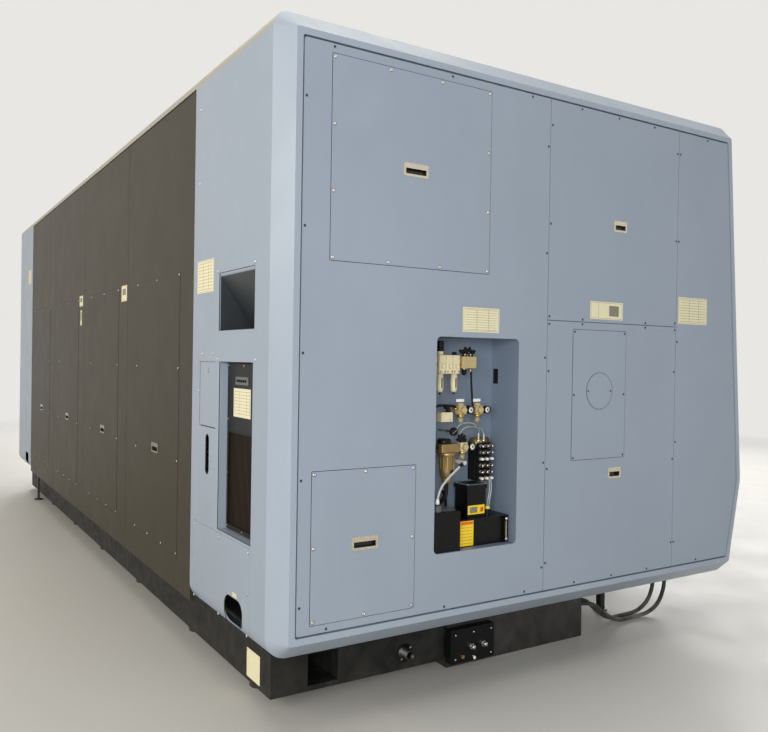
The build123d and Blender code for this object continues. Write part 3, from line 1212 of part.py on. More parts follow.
with BuildPart() as enclosure_frame:
    half = FRAME_TUBE / 2
    for index in range(REAR_PANEL_COUNT + 1):
        post_x = X_LEFT + COLUMN_END + index * REAR_PANEL_PITCH
        post_z = (FRAME_FOOT + FRAME_TUBE - 1.0, BEAM_TOP - FRAME_TUBE + 1.0)
        block((post_x - half, post_x + half), POST_Y, post_z)
    block(REAR_BEAM_X, POST_Y, (FRAME_FOOT, FRAME_FOOT + FRAME_TUBE))
    beam_x = (SKIN_LEFT + FRAME_TUBE, SKIN_RIGHT - FRAME_TUBE)
    block(beam_x, (TOP_BEAM_Y[0], POST_Y[0] + 4.0), (BEAM_TOP - FRAME_TUBE, BEAM_TOP))
    block(beam_x, FRONT_BEAM_Y, (BEAM_TOP - FRAME_TUBE, BEAM_TOP))
    for post_x in (OPENING_LEFT - FRAME_TUBE, OPENING_RIGHT + FRAME_TUBE):
        block((post_x - half, post_x + half), FRONT_BEAM_Y, (UNDERSIDE + SHEET, BEAM_TOP - half))
    for tie_x in BED_TIE_X:
        tie_y = (BED_REAR_Y, POST_Y[0] + 1.0)
        block((tie_x - half, tie_x + half), tie_y, (FRAME_FOOT, FRAME_FOOT + FRAME_TUBE))
    for tie_x in grown((SKIN_LEFT, SKIN_RIGHT), -2 * FRAME_TUBE):
        roof_y = (FRONT_BEAM_Y[0], TOP_BEAM_Y[1])
        block((tie_x - half, tie_x + half), roof_y, (BEAM_TOP - FRAME_TUBE, BEAM_TOP))
    wedge = [
        (POST_Y[1], FRAME_FOOT),
        (POST_Y[1], FRAME_FOOT - half),
        (POST_Y[1] - LEG_SIZE * 0.6, WEDGE_FOOT),
        (POST_Y[1] - LEG_SIZE * 1.4, WEDGE_FOOT),
        (POST_Y[1] - LEG_SIZE * 1.8, FRAME_FOOT + half),
        (POST_Y[0] + LEG_SIZE, FRAME_FOOT + half),
    ]
    prism_x(wedge, (REAR_LEG_X - FRAME_TUBE, REAR_LEG_X + FRAME_TUBE))
finish(enclosure_frame, "enclosure_frame")

PAN_X = (SKIN_LEFT + 20.0, SKIN_RIGHT - 20.0)

with BuildPart() as chip_pan:
    base = UNDERSIDE + SHEET
    trough = [
        (PAN_FRONT_Y, base),
        (PAN_REAR_Y, base),
        (PAN_REAR_Y, base + PAN_REAR_HEIGHT),
        (PAN_REAR_Y - PAN_SKIN, base + PAN_REAR_HEIGHT),
        (PAN_REAR_Y - PAN_SKIN, base + PAN_SKIN),
        (PAN_FRONT_Y + PAN_SKIN, base + PAN_SKIN),
        (PAN_FRONT_Y + PAN_SKIN, base + PAN_FRONT_HEIGHT),
        (PAN_FRONT_Y, base + PAN_FRONT_HEIGHT),
    ]
    prism_x(trough, PAN_X)
    end_wall = [
        (PAN_FRONT_Y, base),
        (PAN_REAR_Y, base),
        (PAN_REAR_Y, base + PAN_REAR_HEIGHT),
        (PAN_FRONT_Y, base + PAN_FRONT_HEIGHT),
    ]
    prism_x(end_wall, (PAN_X[0], PAN_X[0] + PAN_SKIN))
    prism_x(end_wall, (PAN_X[1] - PAN_SKIN, PAN_X[1]))
    for cable in CABLE_ROUTES:
        rod_z(cable[0][0], cable[0][1], (cable[0][2], base + PAN_SKIN / 2), GLAND_RADIUS)
finish(chip_pan, "chip_pan")


with BuildPart() as levelling_feet:
    for foot_y in FOOT_Y:
        for foot_x in FOOT_X:
            if foot_y > 0 or foot_x > X_LEFT + BED_END + TANK_LENGTH:
                rod_z(foot_x, foot_y, (0.0, FOOT_PAD), FOOT_PAD_RADIUS)
                rod_z(foot_x, foot_y, (FOOT_PAD, BED_BOTTOM), FOOT_BOLT_RADIUS)
    for leg_x in LEG_X:
        rod_z(leg_x, LEG_Y, (0.0, LEG_FOOT), LEG_FOOT_RADIUS)
        half = LEG_SIZE / 2
        block((leg_x - half, leg_x + half), (LEG_Y - half, LEG_Y + half), (LEG_FOOT, UNDERSIDE + SHEET))
    rod_z(REAR_LEG_X, POST_Y[1] - LEG_SIZE, (0.0, LEG_FOOT), LEG_FOOT_RADIUS)
    leg_y = (POST_Y[1] - LEG_SIZE * 1.3, POST_Y[1] - LEG_SIZE * 0.7)
    block((REAR_LEG_X - 12.0, REAR_LEG_X + 12.0), leg_y, (LEG_FOOT, WEDGE_FOOT))
finish(levelling_feet, "levelling_feet")

# Bed, guide rails and coolant tank

TANK_X = (BED_LEFT - 7.0, BED_LEFT - 7.0 + TANK_LENGTH)
NOTCH_X = (BED_LEFT - 1.0, TANK_X[1] + TANK_CLEARANCE * 2)
NOTCH_Z = TANK_HEIGHT + TANK_CLEARANCE * 4
RAIL_X = (BED_LEFT + RAIL_END_MARGIN, BED_RIGHT - RAIL_END_MARGIN)
PEDESTAL_X = (MAGAZINE_X - MAGAZINE_DISC / 2 - 30.0 - PEDESTAL_THICK, MAGAZINE_X - MAGAZINE_DISC / 2 - 30.0)

with BuildPart() as bed:
    trough_z = BED_REAR_TOP - BED_TROUGH_DEPTH
    section = [
        (BED_REAR_Y, BED_BOTTOM),
        (BED_REAR_Y, BED_REAR_STEP_Z),
        (BED_REAR_UPPER_Y, BED_REAR_STEP_Z + BED_CHAMFER * 1.5),
        (BED_REAR_UPPER_Y, BED_REAR_TOP),
        (COLUMN_RAIL_REAR_Y - BED_CHAMFER, BED_REAR_TOP),
        (COLUMN_RAIL_REAR_Y - BED_CHAMFER, trough_z),
        (COLUMN_RAIL_FRONT_Y + BED_CHAMFER, trough_z),
        (COLUMN_RAIL_FRONT_Y + BED_CHAMFER, BED_REAR_TOP),
        (BED_STEP_Y, BED_REAR_TOP),
        (BED_STEP_Y, BED_SHELF_Z),
        (BED_SHELF_FRONT_Y, BED_SHELF_Z),
        (BED_SHELF_FRONT_Y, BED_OVERHANG_Z),
        (BED_FRONT_FOOT_Y, NOTCH_Z),
        (BED_FRONT_FOOT_Y, BED_BOTTOM),
    ]
    prism_x(section, (BED_LEFT, BED_RIGHT))
    notch_y = (BED_FRONT_FOOT_Y - 1.0, TANK_INNER_Y + TANK_CLEARANCE * 2)
    block(NOTCH_X, notch_y, (BED_BOTTOM - 1.0, NOTCH_Z), Mode.SUBTRACT)
    pocket_y = (POCKET_Y - POCKET_WIDTH / 2, POCKET_Y + POCKET_WIDTH / 2)
    for end_x in ((BED_LEFT - 1.0, BED_LEFT + POCKET_DEPTH), (BED_RIGHT - POCKET_DEPTH, BED_RIGHT + 1.0)):
        block(end_x, pocket_y, (POCKET_LOW, POCKET_HIGH), Mode.SUBTRACT)
    cell_start = NOTCH_X[1] + BED_RIB
    cell_end = BED_RIGHT - POCKET_DEPTH - BED_RIB
    cell_pitch = (cell_end - cell_start) / BED_CELLS
    for cell in range(BED_CELLS):
        cell_x = (cell_start + cell * cell_pitch, cell_start + (cell + 1) * cell_pitch - BED_RIB)
        front_cell = (BED_FRONT_FOOT_Y + BED_FRONT_WALL, BED_WEB_Y)
        rear_cell = (BED_WEB_Y + BED_RIB, BED_REAR_Y - BED_REAR_WALL)
        for cell_y in (front_cell, rear_cell):
            block(cell_x, cell_y, (BED_BOTTOM - 1.0, BED_CELL_TOP), Mode.SUBTRACT)
    pedestal_y = (MAGAZINE_Y - PEDESTAL_WIDTH / 2, MAGAZINE_Y + PEDESTAL_WIDTH / 2)
    block(PEDESTAL_X, pedestal_y, (trough_z, MAGAZINE_Z))
    rod_x(PEDESTAL_X, MAGAZINE_Y, MAGAZINE_Z, PEDESTAL_WIDTH / 2)
    shaft_hole = (PEDESTAL_X[0] - 1.0, PEDESTAL_X[1] + 1.0)
    rod_x(shaft_hole, MAGAZINE_Y, MAGAZINE_Z, MAGAZINE_SHAFT_RADIUS + FIT, Mode.SUBTRACT)
finish(bed, "bed")


def rail(x, y, base):
    """A linear guide rail along X with a waist on both sides."""
    wide = RAIL_WIDTH / 2
    waist = wide - RAIL_WAIST
    profile = [
        (y - wide, base),
        (y + wide, base),
        (y + wide, base + RAIL_HEIGHT * 0.3),
        (y + waist, base + RAIL_HEIGHT * 0.45),
        (y + waist, base + RAIL_HEIGHT * 0.55),
        (y + wide, base + RAIL_HEIGHT * 0.7),
        (y + wide, base + RAIL_HEIGHT),
        (y - wide, base + RAIL_HEIGHT),
        (y - wide, base + RAIL_HEIGHT * 0.7),
        (y - waist, base + RAIL_HEIGHT * 0.55),
        (y - waist, base + RAIL_HEIGHT * 0.45),
        (y - wide, base + RAIL_HEIGHT * 0.3),
    ]
    prism_x(profile, x)


with BuildPart() as guide_rails:
    rail(RAIL_X, COLUMN_RAIL_REAR_Y, BED_REAR_TOP)
    rail(RAIL_X, COLUMN_RAIL_FRONT_Y, BED_REAR_TOP)
    shelf_x = (HEADSTOCK_LEFT_X + HEADSTOCK_LENGTH + 40.0, RAIL_X[1])
    rail(shelf_x, SHELF_RAIL_REAR_Y, BED_SHELF_Z)
    rail(shelf_x, SHELF_RAIL_FRONT_Y, BED_SHELF_Z)
finish(guide_rails, "guide_rails")

with BuildPart() as coolant_tank:
    tank_y = (BED_FRONT_FOOT_Y, TANK_INNER_Y)
    block(TANK_X, tank_y, (0.0, TANK_HEIGHT))
    block(grown(TANK_X, -5.0), grown(tank_y, -5.0), (5.0, TANK_HEIGHT + 1.0), Mode.SUBTRACT)
    for cable in CABLE_ROUTES:
        gland_y = (cable[-1][1], BED_FRONT_FOOT_Y + 1.0)
        rod_y(cable[-1][0], gland_y, cable[-1][2], GLAND_RADIUS)
finish(coolant_tank, "coolant_tank")

# Headstock, spindle and chuck

HEADSTOCK_X = (HEADSTOCK_LEFT_X, HEADSTOCK_LEFT_X + HEADSTOCK_LENGTH)
HEADSTOCK_Y = (SPINDLE_Y - HEADSTOCK_WIDTH / 2, SPINDLE_Y + HEADSTOCK_WIDTH / 2)
NOSE_X = (HEADSTOCK_X[1] + THRUST_GAP, HEADSTOCK_X[1] + THRUST_GAP + NOSE_LENGTH)
CHUCK_X = (NOSE_X[1], NOSE_X[1] + CHUCK_LENGTH)
ACTUATOR_X = (HEADSTOCK_X[0] - THRUST_GAP - ACTUATOR_LENGTH, HEADSTOCK_X[0] - THRUST_GAP)

with BuildPart() as headstock:
    section = [
        (HEADSTOCK_Y[0], BED_SHELF_Z),
        (HEADSTOCK_Y[1], BED_SHELF_Z),
        (HEADSTOCK_Y[1], HEADSTOCK_TOP - HEADSTOCK_SHOULDER),
        (HEADSTOCK_Y[1] - HEADSTOCK_SHOULDER, HEADSTOCK_TOP),
        (HEADSTOCK_Y[0] + HEADSTOCK_SHOULDER, HEADSTOCK_TOP),
        (HEADSTOCK_Y[0], HEADSTOCK_TOP - HEADSTOCK_SHOULDER),
    ]
    prism_x(section, HEADSTOCK_X, HEADSTOCK_CORNER)
    rod_x(grown(HEADSTOCK_X, 1.0), SPINDLE_Y, SPINDLE_Z, SPINDLE_RADIUS + FIT, Mode.SUBTRACT)
finish(headstock, "headstock")

JAW_X = (CHUCK_X[1] - JAW_SLOT_DEPTH + SLIDE_GAP, CHUCK_X[1] + JAW_HEIGHT)


def radial_box(angle, x, radii, width, mode=Mode.ADD):
    """A box on the chuck, between two X values and two radii, at an angle about the spindle."""
    plane = Plane(
        origin=(0, SPINDLE_Y, SPINDLE_Z),
        x_dir=(0, cos(radians(angle)), sin(radians(angle))),
        z_dir=(1, 0, 0),
    )
    with BuildSketch(plane.offset(x[0])) as face:
        with Locations(((radii[0] + radii[1]) / 2, 0)):
            Rectangle(radii[1] - radii[0], width)
    extrude(face.sketch, amount=x[1] - x[0], mode=mode)


with BuildPart() as main_spindle:
    rod_x(ACTUATOR_X, SPINDLE_Y, SPINDLE_Z, ACTUATOR_RADIUS)
    rod_x((ACTUATOR_X[1], NOSE_X[0]), SPINDLE_Y, SPINDLE_Z, SPINDLE_RADIUS)
    rod_x(NOSE_X, SPINDLE_Y, SPINDLE_Z, NOSE_RADIUS)
    rod_x(CHUCK_X, SPINDLE_Y, SPINDLE_Z, CHUCK_RADIUS)
    rims = main_spindle.edges().filter_by(GeomType.CIRCLE).group_by(Axis.X)[-1]
    chamfer(rims, length=6.0)
    for angle in JAW_ANGLES:
        slot_x = (CHUCK_X[1] - JAW_SLOT_DEPTH, CHUCK_X[1] + 1.0)
        slot_radii = (SPINDLE_BORE_RADIUS, CHUCK_RADIUS + 1.0)
        radial_box(angle, slot_x, slot_radii, JAW_WIDTH, Mode.SUBTRACT)
    bore_x = (ACTUATOR_X[0] - 1.0, CHUCK_X[1] + 1.0)
    rod_x(bore_x, SPINDLE_Y, SPINDLE_Z, SPINDLE_BORE_RADIUS, Mode.SUBTRACT)
finish(main_spindle, "main_spindle")

for number, angle in enumerate(JAW_ANGLES, start=1):
    with BuildPart() as jaw:
        low_x = (JAW_X[0], JAW_X[0] + (JAW_X[1] - JAW_X[0]) * 0.7)
        radial_box(angle, low_x, (JAW_INNER, JAW_OUTER), JAW_WIDTH - 2 * SLIDE_GAP)
        radial_box(angle, JAW_X, (JAW_STEP, JAW_OUTER), JAW_WIDTH - 2 * SLIDE_GAP)
    finish(jaw, f"chuck_jaw_{number}")

# Tailstock, quill and live centre

TAILSTOCK_X = (TAILSTOCK_LEFT_X, TAILSTOCK_LEFT_X + TAILSTOCK_LENGTH)
TAILSTOCK_Y = (SPINDLE_Y - TAILSTOCK_WIDTH / 2, SPINDLE_Y + TAILSTOCK_WIDTH / 2)
QUILL_X = (TAILSTOCK_X[0] - QUILL_NOSE, TAILSTOCK_X[0] - QUILL_NOSE + QUILL_LENGTH)
CENTRE_X = (QUILL_X[0] - THRUST_GAP - CENTRE_COLLAR, QUILL_X[0] - THRUST_GAP)


def runners(x, y, base):
    """Carriage cheeks that reach down both sides of a rail along X."""
    low = base + RAIL_HEIGHT + SLIDE_GAP
    inner = RAIL_WIDTH / 2 + SLIDE_GAP
    for side in (-1, 1):
        near = y + side * inner
        far = y + side * (inner + RUNNER_SIDE)
        block(x, (min(near, far), max(near, far)), (low - RUNNER_DROP, low + 5.0))


with BuildPart() as tailstock:
    base = BED_SHELF_Z + RAIL_HEIGHT + SLIDE_GAP
    shoulder = 160.0
    section = [
        (TAILSTOCK_Y[0], base),
        (TAILSTOCK_Y[1], base),
        (TAILSTOCK_Y[1], base + shoulder),
        (TAILSTOCK_Y[1] - shoulder, SPINDLE_Z),
        (TAILSTOCK_Y[1] - shoulder, TAILSTOCK_TOP),
        (TAILSTOCK_Y[0] + shoulder, TAILSTOCK_TOP),
        (TAILSTOCK_Y[0] + shoulder, SPINDLE_Z),
        (TAILSTOCK_Y[0], base + shoulder),
    ]
    prism_x(section, TAILSTOCK_X, [0.0, 0.0, 20.0, 20.0, 50.0, 50.0, 20.0, 20.0])
    runners(TAILSTOCK_X, SHELF_RAIL_REAR_Y, BED_SHELF_Z)
    runners(TAILSTOCK_X, SHELF_RAIL_FRONT_Y, BED_SHELF_Z)
    rod_x(grown(TAILSTOCK_X, 1.0), SPINDLE_Y, SPINDLE_Z, QUILL_RADIUS + FIT, Mode.SUBTRACT)
finish(tailstock, "tailstock")

with BuildPart() as tailstock_quill:
    rod_x(QUILL_X, SPINDLE_Y, SPINDLE_Z, QUILL_RADIUS)
    shank_x = (QUILL_X[0] - 1.0, QUILL_X[0] + CENTRE_SHANK + 10.0)
    rod_x(shank_x, SPINDLE_Y, SPINDLE_Z, CENTRE_SHANK_RADIUS + FIT, Mode.SUBTRACT)
finish(tailstock_quill, "tailstock_quill")

with BuildPart() as live_centre:
    with BuildSketch(Plane.XZ.offset(-SPINDLE_Y)) as half_section:
        with BuildLine():
            Polyline(
                (CENTRE_X[0] - CENTRE_TIP, SPINDLE_Z),
                (CENTRE_X[0], SPINDLE_Z + CENTRE_RADIUS * 0.9),
                (CENTRE_X[0], SPINDLE_Z + CENTRE_RADIUS),
                (CENTRE_X[1], SPINDLE_Z + CENTRE_RADIUS),
                (CENTRE_X[1], SPINDLE_Z + CENTRE_SHANK_RADIUS),
                (CENTRE_X[1] + CENTRE_SHANK, SPINDLE_Z + CENTRE_SHANK_RADIUS),
                (CENTRE_X[1] + CENTRE_SHANK, SPINDLE_Z),
                close=True,
            )
        make_face()
    revolve(axis=Axis((0, SPINDLE_Y, SPINDLE_Z), (1, 0, 0)))
finish(live_centre, "live_centre")

# Travelling column, cross slide, ram and swivelling milling head

SADDLE_X_RANGE = (SADDLE_X - SADDLE_LENGTH / 2, SADDLE_X + SADDLE_LENGTH / 2)
SADDLE_BASE = BED_REAR_TOP + RAIL_HEIGHT + SLIDE_GAP
SADDLE_TOP = SADDLE_BASE + SADDLE_THICK
CROSS_RAILS = (SADDLE_X - CROSS_RAIL_SPREAD / 2, SADDLE_X + CROSS_RAIL_SPREAD / 2)
COLUMN_BASE = SADDLE_TOP + RAIL_HEIGHT + SLIDE_GAP
COLUMN_X_RANGE = (SADDLE_X - COLUMN_WIDTH / 2, SADDLE_X + COLUMN_WIDTH / 2)
RAM_RAILS = (SADDLE_X - RAM_RAIL_SPREAD / 2, SADDLE_X + RAM_RAIL_SPREAD / 2)
RAM_BACK_Y = COLUMN_FRONT_Y - RAIL_HEIGHT - SLIDE_GAP
RAM_FRONT_Y = RAM_BACK_Y - RAM_DEPTH
RAM_X = (SADDLE_X - RAM_WIDTH / 2, SADDLE_X + RAM_WIDTH / 2)
DRUM_BACK_Y = RAM_FRONT_Y - SLIDE_GAP
HEAD_BACK_Y = DRUM_BACK_Y - HEAD_DRUM
HEAD_FRONT_Y = HEAD_BACK_Y - HEAD_DEPTH
TOOL_Y = (HEAD_BACK_Y + HEAD_FRONT_Y) / 2
HEAD_FOOT = HEAD_Z - HEAD_BELOW

with BuildPart() as column_saddle:
    block(SADDLE_X_RANGE, (SADDLE_FRONT_Y, SADDLE_REAR_Y), (SADDLE_BASE, SADDLE_TOP))
    corners = column_saddle.edges().filter_by(Axis.Z)
    chamfer(corners, length=40.0)
    runners(SADDLE_X_RANGE, COLUMN_RAIL_REAR_Y, BED_REAR_TOP)
    runners(SADDLE_X_RANGE, COLUMN_RAIL_FRONT_Y, BED_REAR_TOP)
    for rail_x in CROSS_RAILS:
        half = RAIL_WIDTH / 2
        rail_y = (SADDLE_FRONT_Y, SADDLE_REAR_Y)
        block((rail_x - half, rail_x + half), rail_y, (SADDLE_TOP, SADDLE_TOP + RAIL_HEIGHT))
finish(column_saddle, "column_saddle")

with BuildPart() as column:
    section = [
        (COLUMN_REAR_Y, COLUMN_BASE),
        (COLUMN_REAR_Y, COLUMN_SHOULDER_Z),
        (COLUMN_FRONT_Y + COLUMN_TOP_DEPTH, COLUMN_SHOULDER_Z + COLUMN_TOP_DEPTH * 0.6),
        (COLUMN_FRONT_Y + COLUMN_TOP_DEPTH, COLUMN_TOP),
        (COLUMN_FRONT_Y, COLUMN_TOP),
        (COLUMN_FRONT_Y, COLUMN_BASE),
    ]
    prism_x(section, COLUMN_X_RANGE, [0.0, 60.0, 120.0, 80.0, 0.0, 0.0])
    cavity = [
        (COLUMN_REAR_Y - COLUMN_WALL, COLUMN_BASE - 1.0),
        (COLUMN_REAR_Y - COLUMN_WALL, COLUMN_SHOULDER_Z - COLUMN_WALL),
        (COLUMN_FRONT_Y + COLUMN_TOP_DEPTH - COLUMN_WALL, COLUMN_SHOULDER_Z + COLUMN_TOP_DEPTH * 0.5),
        (COLUMN_FRONT_Y + COLUMN_TOP_DEPTH - COLUMN_WALL, COLUMN_TOP - COLUMN_WALL),
        (COLUMN_FRONT_Y + COLUMN_WALL, COLUMN_TOP - COLUMN_WALL),
        (COLUMN_FRONT_Y + COLUMN_WALL, COLUMN_BASE - 1.0),
    ]
    prism_x(cavity, grown(COLUMN_X_RANGE, -COLUMN_WALL), 0.0, Mode.SUBTRACT)
    foot_y = (COLUMN_FRONT_Y, COLUMN_REAR_Y)
    cheek = RAIL_WIDTH / 2 + SLIDE_GAP
    for rail_x in CROSS_RAILS:
        for side in (-1, 1):
            near = rail_x + side * cheek
            far = rail_x + side * (cheek + RUNNER_SIDE)
            cheek_z = (COLUMN_BASE - RUNNER_DROP, COLUMN_BASE + COLUMN_WALL)
            block((min(near, far), max(near, far)), foot_y, cheek_z)
        block((rail_x - cheek, rail_x + cheek), foot_y, (COLUMN_BASE, COLUMN_BASE + COLUMN_WALL))
    for rail_x in RAM_RAILS:
        half = RAIL_WIDTH / 2
        rail_y = (COLUMN_FRONT_Y - RAIL_HEIGHT, COLUMN_FRONT_Y + 1.0)
        block((rail_x - half, rail_x + half), rail_y, (COLUMN_BASE + COLUMN_WALL, COLUMN_TOP - COLUMN_WALL))
finish(column, "column")

with BuildPart() as ram:
    block(RAM_X, (RAM_FRONT_Y, RAM_BACK_Y), (RAM_BOTTOM, RAM_TOP))
    corners = ram.edges().filter_by(Axis.Z).group_by(Axis.Y)[0]
    chamfer(corners, length=45.0)
    for rail_x in RAM_RAILS:
        for side in (-1, 1):
            near = rail_x + side * cheek
            far = rail_x + side * (cheek + RUNNER_SIDE)
            cheek_y = (RAM_BACK_Y - 5.0, RAM_BACK_Y + RUNNER_DROP)
            block((min(near, far), max(near, far)), cheek_y, (RAM_BOTTOM + RAM_RIB, RAM_TOP - RAM_RIB))
    bore_y = (RAM_FRONT_Y - 1.0, RAM_FRONT_Y + SPIGOT + 1.0)
    rod_y(SADDLE_X, bore_y, HEAD_Z, SPIGOT_RADIUS + FIT, Mode.SUBTRACT)
finish(ram, "ram")

with BuildPart() as milling_head:
    rod_y(SADDLE_X, (DRUM_BACK_Y, RAM_FRONT_Y + SPIGOT), HEAD_Z, SPIGOT_RADIUS)
    rod_y(SADDLE_X, (HEAD_BACK_Y, DRUM_BACK_Y), HEAD_Z, HEAD_DRUM_RADIUS)
    with BuildSketch(rear_plane(HEAD_BACK_Y)) as housing:
        with Locations((SADDLE_X, HEAD_Z + (HEAD_ABOVE - HEAD_BELOW) / 2)):
            RectangleRounded(HEAD_WIDTH, HEAD_ABOVE + HEAD_BELOW, HEAD_CORNER)
    extrude(housing.sketch, amount=HEAD_DEPTH)
    rims = milling_head.faces().sort_by(Axis.Y)[0].edges()
    chamfer(rims, length=22.0)
    tool_z = (HEAD_FOOT - 1.0, HEAD_FOOT + TOOL_SHAFT + 1.0)
    rod_z(SADDLE_X, TOOL_Y, tool_z, TOOL_SHAFT_RADIUS + FIT, Mode.SUBTRACT)
finish(milling_head, "milling_head")

with BuildPart() as tool_spindle:
    rod_z(SADDLE_X, TOOL_Y, (HEAD_FOOT - THRUST_GAP, HEAD_FOOT + TOOL_SHAFT), TOOL_SHAFT_RADIUS)
    flange_z = (HEAD_FOOT - THRUST_GAP - TOOL_NOSE_FLANGE, HEAD_FOOT - THRUST_GAP)
    rod_z(SADDLE_X, TOOL_Y, flange_z, TOOL_NOSE_RADIUS)
    nose_z = (flange_z[0] - TOOL_NOSE, flange_z[0])
    rod_z(SADDLE_X, TOOL_Y, nose_z, TOOL_NOSE_RADIUS * 0.75)
    taper_plane = Plane(origin=(SADDLE_X, TOOL_Y, nose_z[0]), x_dir=(1, 0, 0), z_dir=(0, 0, 1))
    with BuildSketch(taper_plane) as mouth:
        Circle(TOOL_TAPER_RADIUS)
    extrude(mouth.sketch, amount=TOOL_TAPER_DEPTH, taper=8.0, mode=Mode.SUBTRACT)
finish(tool_spindle, "tool_spindle")

# Tool magazine

with BuildPart() as tool_magazine:
    disc_x = (MAGAZINE_X - MAGAZINE_DISC / 2, MAGAZINE_X + MAGAZINE_DISC / 2)
    rod_x(disc_x, MAGAZINE_Y, MAGAZINE_Z, MAGAZINE_RADIUS)
    rod_x((disc_x[1], disc_x[1] + 60.0), MAGAZINE_Y, MAGAZINE_Z, 110.0)
    shaft_x = (PEDESTAL_X[0] - 20.0, disc_x[0])
    rod_x(shaft_x, MAGAZINE_Y, MAGAZINE_Z, MAGAZINE_SHAFT_RADIUS)
    magazine_plane = Plane(origin=(disc_x[1], MAGAZINE_Y, MAGAZINE_Z), x_dir=(0, 1, 0), z_dir=(1, 0, 0))
    with BuildSketch(magazine_plane) as pots:
        with PolarLocations(POT_CIRCLE, MAGAZINE_POTS):
            Circle(POT_RADIUS)
    extrude(pots.sketch, amount=POT_LENGTH)
    with BuildSketch(magazine_plane.offset(POT_LENGTH - TOOL_TAPER_DEPTH)) as bores:
        with PolarLocations(POT_CIRCLE, MAGAZINE_POTS):
            Circle(POT_BORE)
    extrude(bores.sketch, amount=TOOL_TAPER_DEPTH + 1.0, mode=Mode.SUBTRACT)
finish(tool_magazine, "tool_magazine")

# Pneumatic bay

BAY_MOUTH_X = PANEL_FACE_X + PANEL_SKIN
BAY_BACK_X = X_LEFT + BAY_DEPTH
BAY_FLOOR = BAY[1] - BAY[3] / 2
BAY_SIDE_Y = BAY[0] - BAY[2] / 2

with BuildPart() as bay_box:
    plate_x(BAY, (BAY_MOUTH_X, BAY_BACK_X + BAY_WALL), 0.0, BAY_WALL)
    plate_x(BAY, (BAY_MOUTH_X, BAY_MOUTH_X + BAY_WALL), BAY_FLANGE, BAY_FLANGE)
    plate_x(BAY, (BAY_MOUTH_X - 1.0, BAY_BACK_X), 0.0, 0.0, Mode.SUBTRACT)
    slot_x = (X_LEFT + BAY_SLOT_SET - BAY_SLOT_WIDTH / 2, X_LEFT + BAY_SLOT_SET + BAY_SLOT_WIDTH / 2)
    slot_z = (BAY_SLOT_Z - BAY_SLOT_HEIGHT / 2, BAY_SLOT_Z + BAY_SLOT_HEIGHT / 2)
    block(slot_x, (BAY_SIDE_Y - BAY_WALL - 1.0, BAY_SIDE_Y + 1.0), slot_z, Mode.SUBTRACT)
finish(bay_box, "bay_box")


def wall_bracket(y, z, width, height, front_x):
    """A flat bracket from a fitting to the back wall of the bay."""
    y_range = (y - width / 2, y + width / 2)
    block((front_x, BAY_BACK_X), y_range, (z - height / 2, z + height / 2))


with BuildPart() as air_service_unit:
    block_width = (SERVICE_Y[1] - SERVICE_Y[0]) / SERVICE_BLOCKS
    service_x = (SERVICE_X - SERVICE_DEPTH / 2, SERVICE_X + SERVICE_DEPTH / 2)
    for index in range(SERVICE_BLOCKS):
        low_y = SERVICE_Y[0] + index * block_width
        block(service_x, (low_y + 1.0, low_y + block_width - 1.0), SERVICE_Z)
    middle_z = (SERVICE_Z[0] + SERVICE_Z[1]) / 2
    rod_y(SERVICE_X, (SHUT_OFF_Y[0], SERVICE_Y[1] - 2.0), middle_z, 12.0)
    for index in (0, 2):
        bowl_y = SERVICE_Y[0] + (index + 0.5) * block_width
        rod_z(SERVICE_X, bowl_y, (SERVICE_Z[0] - SERVICE_BOWL, SERVICE_Z[0] + 1.0), SERVICE_BOWL_RADIUS)
        rod_z(SERVICE_X, bowl_y, (SERVICE_Z[1] - 1.0, SERVICE_Z[1] + SERVICE_CAP), SERVICE_BOWL_RADIUS)
    block(service_x, SHUT_OFF_Y, SHUT_OFF_Z)
    for share in (0.25, 0.75):
        cap_y = SHUT_OFF_Y[0] + (SHUT_OFF_Y[1] - SHUT_OFF_Y[0]) * share
        rod_z(SERVICE_X, cap_y, (SHUT_OFF_Z[1] - 1.0, SHUT_OFF_Z[1] + SERVICE_CAP * 0.6), 15.0)
    wall_bracket((SERVICE_Y[0] + SHUT_OFF_Y[1]) / 2, middle_z, 40.0, 30.0, SERVICE_X)
    wall_bracket(SERVICE_Y[1] - 22.0, middle_z, 30.0, 30.0, SERVICE_X)
    filter_y, filter_z = LINE_FILTER_YZ
    head_y = (filter_y - LINE_FILTER_WIDTH / 2, filter_y + LINE_FILTER_WIDTH / 2)
    block((SERVICE_X - 30.0, SERVICE_X + 40.0), head_y, (filter_z - 22.0, filter_z + 28.0))
    bowl_z = (filter_z - 22.0 - LINE_FILTER_BOWL, filter_z - 20.0)
    rod_z(SERVICE_X + 5.0, filter_y, bowl_z, LINE_FILTER_RADIUS)
    rod_z(SERVICE_X + 5.0, filter_y, (bowl_z[0] - 30.0, bowl_z[0] + 1.0), LINE_FILTER_RADIUS * 0.6)
    wall_bracket(filter_y, filter_z, 50.0, 36.0, SERVICE_X)
    junction_y, junction_z = JUNCTION_YZ
    junction_half = (junction_y - 35.0, junction_y + 35.0)
    block((SERVICE_X - 20.0, SERVICE_X + 30.0), junction_half, (junction_z - 24.0, junction_z + 24.0))
    rod_z(SERVICE_X, junction_y - 20.0, (junction_z + 23.0, junction_z + 60.0), 13.0)
    wall_bracket(junction_y, junction_z, 30.0, 24.0, SERVICE_X)
finish(air_service_unit, "air_service_unit")

REGULATOR_FACE_X = REGULATOR_X - REGULATOR_SIZE / 2

